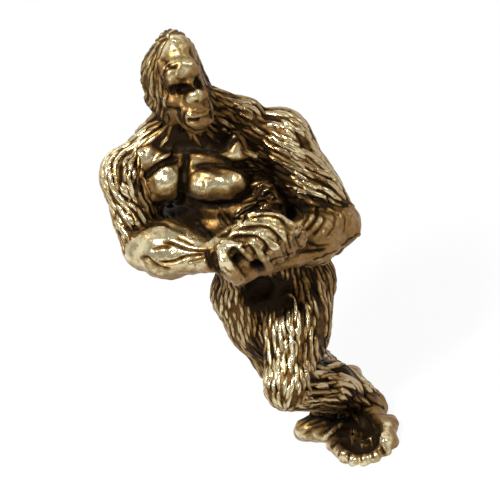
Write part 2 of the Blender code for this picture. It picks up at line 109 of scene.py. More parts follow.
R_FINGERS = (
    ((1.6, -10.3, 31.5), (3.9, -12.0, 31.0), (5.0, -12.2, 29.2), (4.9, -11.0, 26.9)),
    ((0.5, -10.6, 31.2), (2.8, -12.6, 30.8), (3.8, -12.9, 29.0), (3.6, -11.6, 26.8)),
    ((-0.4, -10.9, 30.8), (1.5, -12.8, 30.5), (2.4, -13.2, 28.9), (2.3, -12.0, 26.9)),
    ((-1.0, -11.1, 30.1), (0.4, -12.7, 29.9), (1.1, -13.0, 28.4), (1.0, -12.1, 26.8)))
L_THUMB = ((-2.4, -12.8, 27.3), (-2.7, -13.2, 29.5), (-2.6, -12.4, 30.8))
L_FOREFINGER = ((-2.0, -12.0, 31.0), (-0.9, -13.0, 30.3), (-0.3, -12.7, 28.9))
HEAD_TURN = (10, 15, 12)
CHEST_TURN = (0, 14, -18)

# The photograph's camera
TARGET = (0.0, 0.0, 23.6)       # the point of the figure at the middle of the frame
CAMERA_RISE = 25.0
CAMERA_ROLL = 26.0
CAMERA_DISTANCE = 1500.0
PHOTO_WIDTH = 51.6      # millimetres across the frame at the figure
PHOTO_PIXELS = 500
RAY_START = 40.0        # how far ahead of the target a line of sight is followed from
RAY_STEPS = 70
RAY_PACE = 0.8          # share of the free distance that each step takes
RAY_LONGEST = REACH * 0.6
RAY_HIT = 0.1           # how near the surface a line of sight has to end

SECTIONS = ["head", "torso", "hips", "right_upper_arm", "left_upper_arm", "right_forearm",
            "left_forearm", "right_hand", "left_hand", "right_thigh", "left_thigh",
            "right_shin", "left_shin", "right_foot", "left_foot"]
NUMBER = {name: place + 1 for place, name in enumerate(SECTIONS)}   # 0 is the air
SIDES = (-1, 1)


def turned(angles):
    """The matrix of a turn about X, then Y, then Z, in degrees."""
    return np.array(Euler([math.radians(a) for a in angles], "XYZ").to_matrix())


def along(start, end, share, side=(0, 0, 0)):
    """A point at a share of the way from start to end, moved sideways."""
    start, end = np.array(start, float), np.array(end, float)
    return start + (end - start) * share + np.array(side, float)


def smoothstep(value, low, high):
    """0 below low, 1 above high and smooth between."""
    share = np.clip((value - low) / (high - low), 0, 1)
    return share * share * (3 - 2 * share)


def join(a, b, blend):
    """The smooth union of two distances."""
    share = np.clip(blend - np.abs(a - b), 0, None) / blend
    return np.minimum(a, b) - share * share * blend / 4


class Blob:
    """An ellipsoid, or a ball where it has one radius."""

    def __init__(self, centre, radii, turn=None):
        self.centre = np.array(centre, float)
        self.radii = np.ones(3) * radii
        self.turn = np.identity(3) if turn is None else turn
        reach = np.sqrt(((self.turn * self.radii) ** 2).sum(1))
        self.low, self.high = self.centre - reach, self.centre + reach

    def distance(self, places):
        local = (places - self.centre) @ self.turn / self.radii
        size = np.sqrt((local ** 2).sum(-1))
        slope = np.sqrt(((local / self.radii) ** 2).sum(-1))
        return size * (size - 1) / np.maximum(slope, 1e-6)


class Bone:
    """A tapered rod with round ends."""

    def __init__(self, start, end, start_radius, end_radius):
        self.start = np.array(start, float)
        self.axis = np.array(end, float) - self.start
        self.radii = (start_radius, end_radius)
        reach = max(self.radii)
        self.low = np.minimum(self.start, end) - reach
        self.high = np.maximum(self.start, end) + reach

    def distance(self, places):
        offset = places - self.start
        share = np.clip(offset @ self.axis / (self.axis @ self.axis), 0, 1)
        away = np.sqrt(((offset - share[..., None] * self.axis) ** 2).sum(-1))
        return away - self.radii[0] - (self.radii[1] - self.radii[0]) * share


class Limb:
    """Masses blended with each other in their order, and then into the figure or out of it."""

    def __init__(self, blend, carves=False):
        self.blend, self.carves = blend, carves
        self.masses = []

    def add(self, section, form, blend=0.6, cut=False):
        self.masses.append((NUMBER[section], form, blend, cut))

    def blob(self, section, centre, radii, turn=None, blend=0.6):
        self.add(section, Blob(centre, radii, turn), blend)

    def bone(self, section, start, end, start_radius, end_radius, blend=0.6):
        self.add(section, Bone(start, end, start_radius, end_radius), blend)

    def chain(self, section, points, start_radius, end_radius, blend=0.2):
        """A finger or a toe through its joints."""
        steps = len(points) - 1
        for i in range(steps):
            a = start_radius + (end_radius - start_radius) * i / steps
            b = start_radius + (end_radius - start_radius) * (i + 1) / steps
            self.bone(section, points[i], points[i + 1], a, b, blend)

    def muscle(self, section, start, end, share, length_share, radius, side, blend):
        """A spindle along a bone."""
        axis = Vector(end) - Vector(start)
        turn = np.array(axis.to_track_quat("Z", "Y").to_matrix())
        radii = (radius, radius, axis.length * length_share / 2)
        self.blob(section, along(start, end, share, side), radii, turn, blend)

    def hollow(self, form, blend=0.2):
        """Take a form out of the limb."""
        self.add(SECTIONS[0], form, blend, True)


class Model:
    """A section of a limb that is modelled in a frame of its own: right, back and up."""

    def __init__(self, limb, section, origin, angles):
        self.limb, self.section = limb, section
        self.origin, self.turn = np.array(origin, float), turned(angles)

    def at(self, place):
        return self.origin + self.turn @ np.array(place, float)

    def form(self, place, radii, tilt=None):
        turn = self.turn if tilt is None else self.turn @ turned(tilt)
        return Blob(self.at(place), radii, turn)

    def blob(self, place, radii, blend=0.6, tilt=None):
        self.limb.add(self.section, self.form(place, radii, tilt), blend)

    def ball(self, place, radius, blend):
        self.limb.blob(self.section, self.at(place), radius, blend=blend)

    def bone(self, start, end, start_radius, end_radius, blend):
        self.limb.bone(self.section, self.at(start), self.at(end), start_radius, end_radius, blend)

    def hollow(self, place, radii, blend):
        self.limb.hollow(self.form(place, radii), blend)


class Cloud:
    """Loose places at which the figure's field is read."""

    def __init__(self, places):
        self.places = places
        self.shape = (len(places),)
        self.heights = places[:, 2]

    def near(self, low, high):
        return np.flatnonzero(((self.places > low) & (self.places < high)).all(1))

    def at(self, where):
        return self.places[where]


class Lattice:
    """A regular grid of places."""

    def __init__(self, low, high, cell):
        self.low, self.cell = np.array(low, float), cell
        self.axes = [np.arange(a, b, cell) for a, b in zip(low, high)]
        self.shape = tuple(len(axis) for axis in self.axes)
        self.heights = self.axes[2]

    def near(self, low, high):
        return tuple(slice(*np.searchsorted(axis, (a, b)))
                     for axis, a, b in zip(self.axes, low, high))

    def at(self, where):
        return np.stack(np.meshgrid(*[axis[part] for axis, part in zip(self.axes, where)],
                                    indexing="ij"), -1)


def field(limbs, space, sections=False):
    """Signed distance to the figure's skin, below zero inside, and each place's section."""
    value = np.full(space.shape, FAR, np.float32)
    nearest = np.full(space.shape, FAR, np.float32)
    section = np.zeros(space.shape, np.int8)
    for limb in limbs:
        own = np.full(space.shape, FAR, np.float32)
        for number, form, blend, cut in limb.masses:
            where = space.near(form.low - REACH, form.high + REACH)
            distance = form.distance(space.at(where)).astype(np.float32)
            if cut:
                own[where] = -join(-own[where], distance, blend)
                continue
            own[where] = join(own[where], distance, blend)
            if sections:
                closer = distance < nearest[where]
                nearest[where] = np.where(closer, distance, nearest[where])
                section[where] = np.where(closer, number, section[where])
        value = -join(-value, own, limb.blend) if limb.carves else join(value, own, limb.blend)
    value = np.maximum(value, -space.heights.astype(np.float32))
    return (value, section) if sections else value


def slope(limbs, places, step=0.03):
    """The field at the places and its gradient."""
    value = field(limbs, Cloud(places))
    gradient = np.empty_like(places)
    for axis in range(3):
        moved = places.copy()
        moved[:, axis] += step
        gradient[:, axis] = (field(limbs, Cloud(moved)) - value) / step
    return value, gradient


def head_masses():
    limb = Limb(0.6)
    head = Model(limb, "head", HEAD, HEAD_TURN)
    # skull and high crown, face, brow
    head.blob((-0.1, 0.4, 0.4), (3.2, 3.8, 3.6))
    head.blob((0.42, -0.1, 3.3), (2.05, 2.8, 2.6), 1.4)
    head.bone((1.7, 1.0, 2.4), (2.7, 1.2, -2.4), 1.3, 1.7, 1.0)
    head.blob((0.1, -2.4, -0.4), (2.4, 1.9, 2.9), 0.8)
    head.bone((-1.6, -3.0, 2.3), (0.95, -3.1, 2.5), 0.85, 0.85, 0.9)
    head.blob((-0.3, -3.0, 3.0), (2.0, 1.05, 1.2), 0.9)
    # muzzle, bridge and wings of the nose, lips and chin, cheeks
    head.blob((0.4, -4.0, -1.9), (2.15, 1.9, 2.0), 0.6)
    head.bone((0.1, -3.7, 1.9), (0.4, -4.9, 0.8), 0.5, 0.75, 0.4)
    head.blob((0.5, -4.85, 0.25), (1.3, 0.9, 1.0), 0.6)
    head.blob((0.55, -4.85, -1.2), (1.7, 1.05, 0.85), 0.35)
    head.blob((0.6, -4.7, -2.6), (1.6, 1.05, 0.85), 0.35)
    head.blob((0.55, -4.1, -3.4), (1.4, 1.1, 0.9), 0.4)
    head.ball((-1.85, -2.9, -0.4), 0.85, 0.4)
    head.ball((2.1, -2.9, -0.7), 0.85, 0.4)
    # ears and jaws, hollows of the eyes and nostrils, eyes
    for side in SIDES:
        head.blob((side * 3.1, 0.6, 0.3), (0.45, 0.75, 0.85), 0.2)
        head.bone((side * 2.1, 0.4, -1.8), (side * 1.4, -2.0, -3.0), 1.3, 0.95, 0.7)
    head.hollow((-1.2, -4.1, 1.2), (0.75, 0.9, 0.5), 0.3)
    head.hollow((0.95, -4.1, 1.25), (0.5, 0.8, 0.42), 0.3)
    head.hollow((0.02, -5.8, -0.05), (0.27, 0.4, 0.2), 0.12)
    head.hollow((0.92, -5.8, -0.1), (0.25, 0.4, 0.2), 0.12)
    head.blob((-1.15, -3.3, 1.05), (0.5, 0.45, 0.36), 0.1)
    head.blob((0.95, -3.35, 1.1), (0.42, 0.45, 0.34), 0.1)
    return limb


def trunk_masses():
    limb = Limb(0.6)
    chest = Model(limb, "torso", CHEST, CHEST_TURN)
    # rib cage and back, neck and collars
    chest.blob((0, 0.2, 0), (6.4, 4.6, 6.2))
    chest.blob((0, 1.6, 2.2), (7.2, 3.6, 4.4), 1.5)
    for side in SIDES:
        chest.blob((side * 4.9, 1.4, -1.7), (2.7, 3.4, 4.8), 1.5)
        chest.blob((side * 3.5, 4.3, 1.9), (2.6, 1.6, 3.2), 0.8)
    limb.bone("torso", NECK, HEAD, 3.3, 2.9, 1.2)
    limb.bone("torso", NECK, R_SHOULDER, 2.6, 2.5, 1.5)
    limb.bone("torso", NECK, L_SHOULDER, 2.5, 2.4, 1.2)
    limb.bone("torso", (3.4, -0.3, 40.5), (6.0, -0.9, 38.2), 1.6, 1.6, 0.8)
    limb.blob("torso", (5.7, -1.6, 38.6), (1.7, 1.1, 1.2), turned((0, 35, 0)), 0.6)
    # waist, breasts, collar bones, belly and ribs
    limb.bone("torso", CHEST, WAIST, 4.1, 4.1, 1.5)
    limb.blob("torso", along(WAIST, CHEST, 0.15), (6.9, 4.3, 5.4), None, 1.5)
    chest.blob((-3.1, -3.75, 0.9), (2.15, 2.1, 2.7), 0.2, (0, 24, 0))
    chest.blob((1.0, -3.85, 0.4), (2.15, 2.1, 1.95), 0.2)
    chest.blob((3.3, -3.7, 0.2), (2.2, 2.1, 1.95), 0.6)
    chest.blob((-3.5, -3.5, 3.3), (2.3, 1.0, 0.7), 0.2, (0, -34, 0))
    chest.blob((4.3, -3.1, 3.15), (2.7, 1.1, 0.9), 0.5, (0, 14, 0))
    chest.blob((4.7, -2.8, 4.0), (1.1, 1.1, 1.2), 0.8)
    chest.blob((0.9, -4.1, -4.6), (1.9, 1.1, 1.05), 0.2)
    limb.bone("torso", (5.6, -1.6, 28.6), (6.7, -1.6, 26.2), 1.6, 1.5, 0.8)
    chest.bone((3.4, -3.5, -3.3), (6.6, -2.9, -1.2), 1.0, 1.1, 0.4)
    chest.bone((6.6, -2.9, -1.2), (7.4, -2.6, -4.0), 1.1, 1.3, 0.4)
    # pelvis and buttocks, with the furrow of the back
    limb.bone("hips", PELVIS, WAIST, 4.4, 5.5, 1.5)
    limb.blob("hips", PELVIS, (5.9, 4.2, 4.4), None, 1.2)
    for hip, back in ((R_HIP, 2.4), (L_HIP, 3.1)):
        limb.blob("hips", hip, 3.7, blend=0.8)
        limb.blob("hips", along(hip, PELVIS, 0.2, (0, back, 0)), 3.4, blend=0.8)
    limb.hollow(Bone((0.1, 6.3, 39.0), (0.6, 5.9, 25.0), 0.95, 0.95), 0.8)
    limb.hollow(Bone((1.0, 7.3, 21.5), (0.9, 6.6, 15.0), 0.8, 0.8), 0.8)
    return limb


def crotch_hollow():
    """The deep hollow between the belly and the thighs."""
    limb = Limb(0.8, carves=True)
    limb.blob("hips", (-1.3, -4.2, 20.2), (2.1, 2.6, 1.5), turned((0, -28, 0)))
    limb.bone("hips", (-0.9, -4.4, 19.6), (-2.7, -6.2, 14.6), 0.55, 0.35, 0.6)
    return limb


def upper_arm_masses(name, shoulder, elbow):
    limb = Limb(0.7)
    limb.blob(name, along(shoulder, elbow, 0.08), (2.9, 3.2, 3.5))
    limb.bone(name, shoulder, elbow, 2.5, 2.3, 1.2)
    limb.muscle(name, shoulder, elbow, 0.6, 0.9, 2.65, (0, 0.4, 0), 1.0)
    return limb


def forearm_masses(name, elbow, wrist, sag, thick, thin):
    limb = Limb(0.2)
    belly = along(elbow, wrist, 0.34, (0, 0, -sag))
    limb.bone(name, elbow, belly, 2.55, thick, 1.0)
    limb.bone(name, belly, wrist, thick, thin, 1.0)
    return limb


def left_hand_masses():
    limb = Limb(0.15)
    limb.bone("left_hand", L_WRIST, L_PALM, 1.45, 1.6, 0.6)
    limb.blob("left_hand", L_PALM, (1.9, 1.5, 1.8), blend=0.6)
    limb.blob("left_hand", (-1.2, -11.9, 28.7), 1.15, blend=0.3)
    limb.chain("left_hand", L_THUMB, 0.88, 0.78, 0.3)
    limb.chain("left_hand", L_FOREFINGER, 0.76, 0.68, 0.3)
    return limb


def right_hand_masses():
    limb = Limb(0.15)
    limb.bone("right_hand", R_WRIST, R_PALM, 1.6, 1.6, 0.6)
    limb.blob("right_hand", R_PALM, (2.2, 1.5, 1.6), blend=0.6)
    limb.bone("right_hand", R_PALM, (3.4, -11.2, 28.7), 1.3, 1.1, 0.4)
    for joints in R_FINGERS:
        limb.chain("right_hand", joints, 0.76, 0.70, 0.10)
    return limb


def thigh_masses(name, hip, knee):
    limb = Limb(0.7)
    limb.bone(name, hip, knee, 3.6, 2.8, 1.0)
    limb.muscle(name, hip, knee, 0.4, 0.9, 3.67, (0, -0.3, 0), 1.0)
    return limb


def shin_masses(name, knee, calf, ankle, calf_radius):
    limb = Limb(0.5)
    limb.bone(name, knee, calf, 2.7, calf_radius, 1.0)
    limb.bone(name, calf, ankle, calf_radius, 1.9, 1.0)
    return limb


FOOT_LENGTH, FOOT_HEIGHT = 11.4, 2.4
HEEL_RADIUS, TOE_RADIUS, GREAT_TOE_RADIUS = 1.95, 0.8, 0.95
TOE_SPREAD = 24         # degrees from one toe to the next


def foot_masses(name, ankle, heel, heading, toe_turn, thumb_tip, width):
    """A flat foot whose five toes lie in an arc and whose great toe grasps like a thumb."""
    limb = Limb(0.4)
    foot = Model(limb, name, heel, (0, 0, heading))
    fore = -FOOT_LENGTH * 0.5
    limb.bone(name, ankle, foot.at((0, 0, 1.56)), 1.9, HEEL_RADIUS, 0.6)
    foot.bone((0, 0, 1.56), (0, fore, 0.96), HEEL_RADIUS, 1.44, 0.6)
    foot.blob((0, fore * 0.8, 1.0), (width / 2, FOOT_LENGTH * 0.27, FOOT_HEIGHT * 0.52))
    for toe in range(5):
        angle = math.radians(TOE_SPREAD * (toe - 2) + toe_turn)
        root = (width * 0.34 * math.sin(angle), fore * 0.95, FOOT_HEIGHT * 0.42)
        tip = ((width / 2 - TOE_RADIUS * 0.5) * math.sin(angle),
               -FOOT_LENGTH * 0.8 + FOOT_LENGTH * 0.32 * (1 - math.cos(angle)),
               TOE_RADIUS * 0.7)
        foot.bone(root, tip, TOE_RADIUS, TOE_RADIUS, 0.25)
    # the great toe and the ball of the foot beside it
    side = 1 if thumb_tip[0] > 0 else -1
    root = (side * width * 0.4, fore * 0.42, GREAT_TOE_RADIUS * 1.3)
    foot.bone((0, fore * 0.5, GREAT_TOE_RADIUS * 1.3), root, 1.33, 1.33, 0.5)
    foot.bone(root, (*thumb_tip, GREAT_TOE_RADIUS), 1.35, GREAT_TOE_RADIUS * 1.1, 0.3)
    ball = (side * width * 0.43, fore * 0.82, GREAT_TOE_RADIUS * 1.1)
    foot.bone(root, ball, 1.23, 1.23, 0.3)
    return limb


def instep():
    """The left foot's dished instep and the rim of its outer toes."""
    rim = Limb(0.3)
    rim.chain("left_foot", ((4.0, -4.4, 1.5), (4.45, -6.3, 1.2), (3.9, -8.5, 1.1)), 1.0, 0.9, 0.8)
    rim.bone("left_foot", (-0.9, -3.4, 1.1), (-0.4, -6.8, 1.0), 1.0, 0.9, 0.4)
    rim.bone("left_foot", (-3.0, 1.4, 1.7), (-0.3, 0.3, 2.5), 1.2, 1.4, 0.4)
    dish = Limb(0.5, carves=True)
    dish.blob("left_foot", (2.2, -5.4, 3.0), (1.7, 2.2, 1.5))
    return [dish, rim]


def figure_masses():
    """Every limb, in the order in which they are blended into the figure."""
    return [
        trunk_masses(),
        head_masses(),
        thigh_masses("right_thigh", R_HIP, R_KNEE),
        shin_masses("right_shin", R_KNEE, R_CALF, R_ANKLE, 2.8),
        foot_masses("right_foot", R_ANKLE, R_HEEL, 2, 0, (2.9, -6.4), 5.6),
        thigh_masses("left_thigh", L_HIP, L_KNEE),
        shin_masses("left_shin", L_KNEE, L_CALF, L_ANKLE, 2.6),
        foot_masses("left_foot", L_ANKLE, L_HEEL, -14, 10, (-7.8, 1.0), 6.8),
        *instep(),
        crotch_hollow(),
        upper_arm_masses("right_upper_arm", R_SHOULDER, R_ELBOW),
        upper_arm_masses("left_upper_arm", L_SHOULDER, L_ELBOW),
        forearm_masses("left_forearm", L_ELBOW, L_WRIST, 0.1, 2.75, 1.4),
        left_hand_masses(),
        forearm_masses("right_forearm", R_ELBOW, R_WRIST, -0.2, 3.05, 1.75),
        right_hand_masses(),
    ]


class Skin:
    """The figure's surface: places, four-cornered faces and the two sections at each face.

    Section 0 is the air, so a face between 0 and another is skin, and any other is a
    joint face inside the metal, which closes the two sections that share it.
    """

    def __init__(self, limbs, low, high, cell):
        self.limbs = limbs
        lattice = Lattice(low, high, cell)
        value, section = field(limbs, lattice, sections=True)
        self.build(lattice, value, np.where(value < 0, section, 0))

    def build(self, lattice, value, kind):
        """A face across each step of the grid that goes from one kind to another."""
        cells = np.array(lattice.shape) - 1
        flat = np.array((cells[1] * cells[2], cells[2], 1))
        corners, sides, totals = [], [], []
        for axis in range(3):
            near, far = [tuple(slice(a, n - b) if k == axis else slice(None) for k, n in
                               enumerate(lattice.shape)) for a, b in ((0, 1), (1, 0))]
            where = np.argwhere(kind[near] != kind[far])
            start, end = where.copy(), where.copy()
            end[:, axis] += 1
            start, end = tuple(start.T), tuple(end.T)
            a, b = kind[start], kind[end]
            outer = (a == 0) | (b == 0)
            share = np.where(outer, value[start] / (value[start] - value[end] + 1e-12), 0.5)
            place = where + 0.0
            place[:, axis] += np.clip(share, 0, 1)
            u, v = (axis + 1) % 3, (axis + 2) % 3
            loop = []
            for du, dv in ((-1, -1), (0, -1), (0, 0), (-1, 0)):
                cell = where.copy()
                cell[:, u] += du
                cell[:, v] += dv
                loop.append(cell @ flat)
            loop = np.stack(loop, 1)
            corners.append(loop)
            sides.append(np.stack((a, b), 1))
            totals.append((place, outer))
        corners = np.concatenate(corners)
        sides = np.concatenate(sides)
        place = np.repeat(np.concatenate([t[0] for t in totals]), 4, 0)
        outer = np.repeat(np.concatenate([t[1] for t in totals]), 4)
        used, index = np.unique(corners, return_inverse=True)
        index = index.reshape(corners.shape)
        owner = index.ravel()
        on_skin = np.bincount(owner, outer, len(used)) > 0
        weight = np.where(on_skin[owner], outer, 1.0)
        count = np.bincount(owner, weight, len(used))
        places = np.stack([np.bincount(owner, weight * place[:, k], len(used)) / count
                           for k in range(3)], 1)
        self.places = lattice.low + places * lattice.cell
        self.faces, self.sides = index, sides
        self.mark_skin()

    def mark_skin(self):
        self.skin_faces = (self.sides == 0).any(1)
        self.on_skin = np.zeros(len(self.places), bool)
        self.on_skin[self.faces[self.skin_faces].ravel()] = True

    def split(self):
        """Divide every face into four."""
        pairs = np.stack((self.faces, np.roll(self.faces, -1, 1)), 2).reshape(-1, 2)
        unique, index = np.unique(np.sort(pairs, 1), axis=0, return_inverse=True)
        index = index.reshape(self.faces.shape)
        middles = self.places[unique].mean(1)
        centres = self.places[self.faces].mean(1)
        first = len(self.places)
        middle = first + index
        centre = first + len(unique) + np.arange(len(self.faces))
        self.places = np.concatenate((self.places, middles, centres))
        parts = [np.stack((self.faces[:, k], middle[:, k], centre, middle[:, k - 1]), 1)
                 for k in range(4)]
        self.faces = np.stack(parts, 1).reshape(-1, 4)
        self.sides = np.repeat(self.sides, 4, 0)
        self.mark_skin()

    def settle(self, steps):
        """Pull the skin's places onto the exact surface, and the soles down to the ground."""
        chosen = np.flatnonzero(self.on_skin)
        for _ in range(steps):
            places = self.places[chosen]
            value, gradient = slope(self.limbs, places)
            value = value + SINK
            size = np.maximum((gradient ** 2).sum(1), 0.25)
            move = np.clip(value / size, -LONGEST_MOVE, LONGEST_MOVE)
            self.places[chosen] = places - gradient * move[:, None]
        height = self.places[:, 2]
        self.places[:, 2] = height - SINK * (1 - smoothstep(height, SINK, SOLE_HEIGHT))

    def tuck(self, depth):
        """Keep the joint faces' inner places below the carved skin, by short steps."""
        inner = np.flatnonzero(~self.on_skin)
        for _ in range(TUCK_STEPS):
            value, gradient = slope(self.limbs, self.places[inner])
            size = np.linalg.norm(gradient, axis=1)
            move = np.clip(value + depth, 0, depth / TUCK_STEPS)
            move = np.where(size > LEAST_SLOPE, move, 0)
            self.places[inner] -= gradient * (move / np.maximum(size, LEAST_SLOPE))[:, None]

    def normals(self):
        """Unit normals of the skin's places, averaged over the skin's faces."""
        faces = self.faces[self.skin_faces]
        inward = self.sides[self.skin_faces][:, 0] == 0
        corners = self.places[faces]
        cross = np.cross(corners[:, 2] - corners[:, 0], corners[:, 3] - corners[:, 1])
        cross[inward] *= -1
        total = np.stack([np.bincount(faces.ravel(), np.repeat(cross[:, k], 4),
                                      len(self.places)) for k in range(3)], 1)
        return total / np.maximum(np.linalg.norm(total, axis=1), 1e-12)[:, None]

    def mesh(self, name, names):
        """The closed mesh of the named sections together, in metres."""
        own = np.isin(self.sides, [NUMBER[one] for one in names])
        ahead, behind = own[:, 0] & ~own[:, 1], own[:, 1] & ~own[:, 0]
        faces = np.concatenate((self.faces[ahead], self.faces[behind][:, ::-1]))
        smooth = np.concatenate((self.skin_faces[ahead], self.skin_faces[behind]))
        used, index = np.unique(faces, return_inverse=True)
        mesh = bpy.data.meshes.new(name)
        mesh.vertices.add(len(used))
        mesh.vertices.foreach_set("co", (self.places[used] * MM).ravel())
        mesh.loops.add(faces.size)
        mesh.loops.foreach_set("vertex_index", index.ravel())
        mesh.polygons.add(len(faces))
        mesh.polygons.foreach_set("loop_start", np.arange(0, faces.size, 4))
        mesh.polygons.foreach_set("use_smooth", smooth)
        mesh.update(calc_edges=True)
        return mesh, used


def looking_back(place, out):
    """The matrix of a camera or lamp at a place, turned against the direction out."""
    return Matrix.Translation(place) @ (-out).to_track_quat("-Z", "Y").to_matrix().to_4x4()


def camera_matrix():
    rise = math.radians(CAMERA_RISE)
    out = Vector((0, -math.cos(rise), math.sin(rise)))
    place = (Vector(TARGET) + out * CAMERA_DISTANCE) * MM
    return looking_back(place, out) @ Matrix.Rotation(-math.radians(CAMERA_ROLL), 4, "Z")


def seen(limbs, pixels):
    """The places on the figure that the camera sees at the photograph's pixels."""
    matrix = np.array(camera_matrix())
    side = (np.array(pixels, float) - PHOTO_PIXELS / 2) * PHOTO_WIDTH / PHOTO_PIXELS
    way = np.column_stack((side[:, 0], -side[:, 1], np.full(len(side), -CAMERA_DISTANCE)))
    way = way @ matrix[:3, :3].T
    way /= np.linalg.norm(way, axis=1)[:, None]
    places = matrix[:3, 3] / MM + way * (CAMERA_DISTANCE - RAY_START)
    for _ in range(RAY_STEPS):
        gap = np.minimum(field(limbs, Cloud(places)), RAY_LONGEST)
        places = places + way * (gap * RAY_PACE)[:, None]
    return places, field(limbs, Cloud(places)) < RAY_HIT


def smoothed(points, step=2.0):
    """A curve through given points, with a point about every step."""
    points = np.array(points, float)
    if len(points) < 3:
        points = np.array((points[0], (points[0] + points[1]) / 2, points[1]))
    ends = np.vstack((2 * points[0] - points[1], points, 2 * points[-1] - points[-2]))
    curve = []
    for a, b, c, d in zip(ends, ends[1:], ends[2:], ends[3:]):
        count = max(2, int(np.linalg.norm(c - b) / step) + 1)
        t = np.arange(count)[:, None] / count
        curve.append(0.5 * (2 * b + (c - a) * t + (2 * a - 5 * b + 4 * c - d) * t ** 2
                            + (3 * b - a - 3 * c + d) * t ** 3))
    return np.vstack(curve + [points[-1:]])


def line_distance(places, line):
    """How far each place is from a line of points, and how far along it, from 0 to 1."""
    start, axis = line[:-1], np.diff(line, axis=0)
    offset = places[:, None] - start
    share = (offset * axis).sum(-1) / np.maximum((axis * axis).sum(-1), 1e-9)
    share = np.clip(share, 0, 1)
    away = np.linalg.norm(offset - share[..., None] * axis, axis=2)
    nearest = away.argmin(1)
    row = np.arange(len(places))
    return away[row, nearest], (nearest + share[row, nearest]) / len(axis)
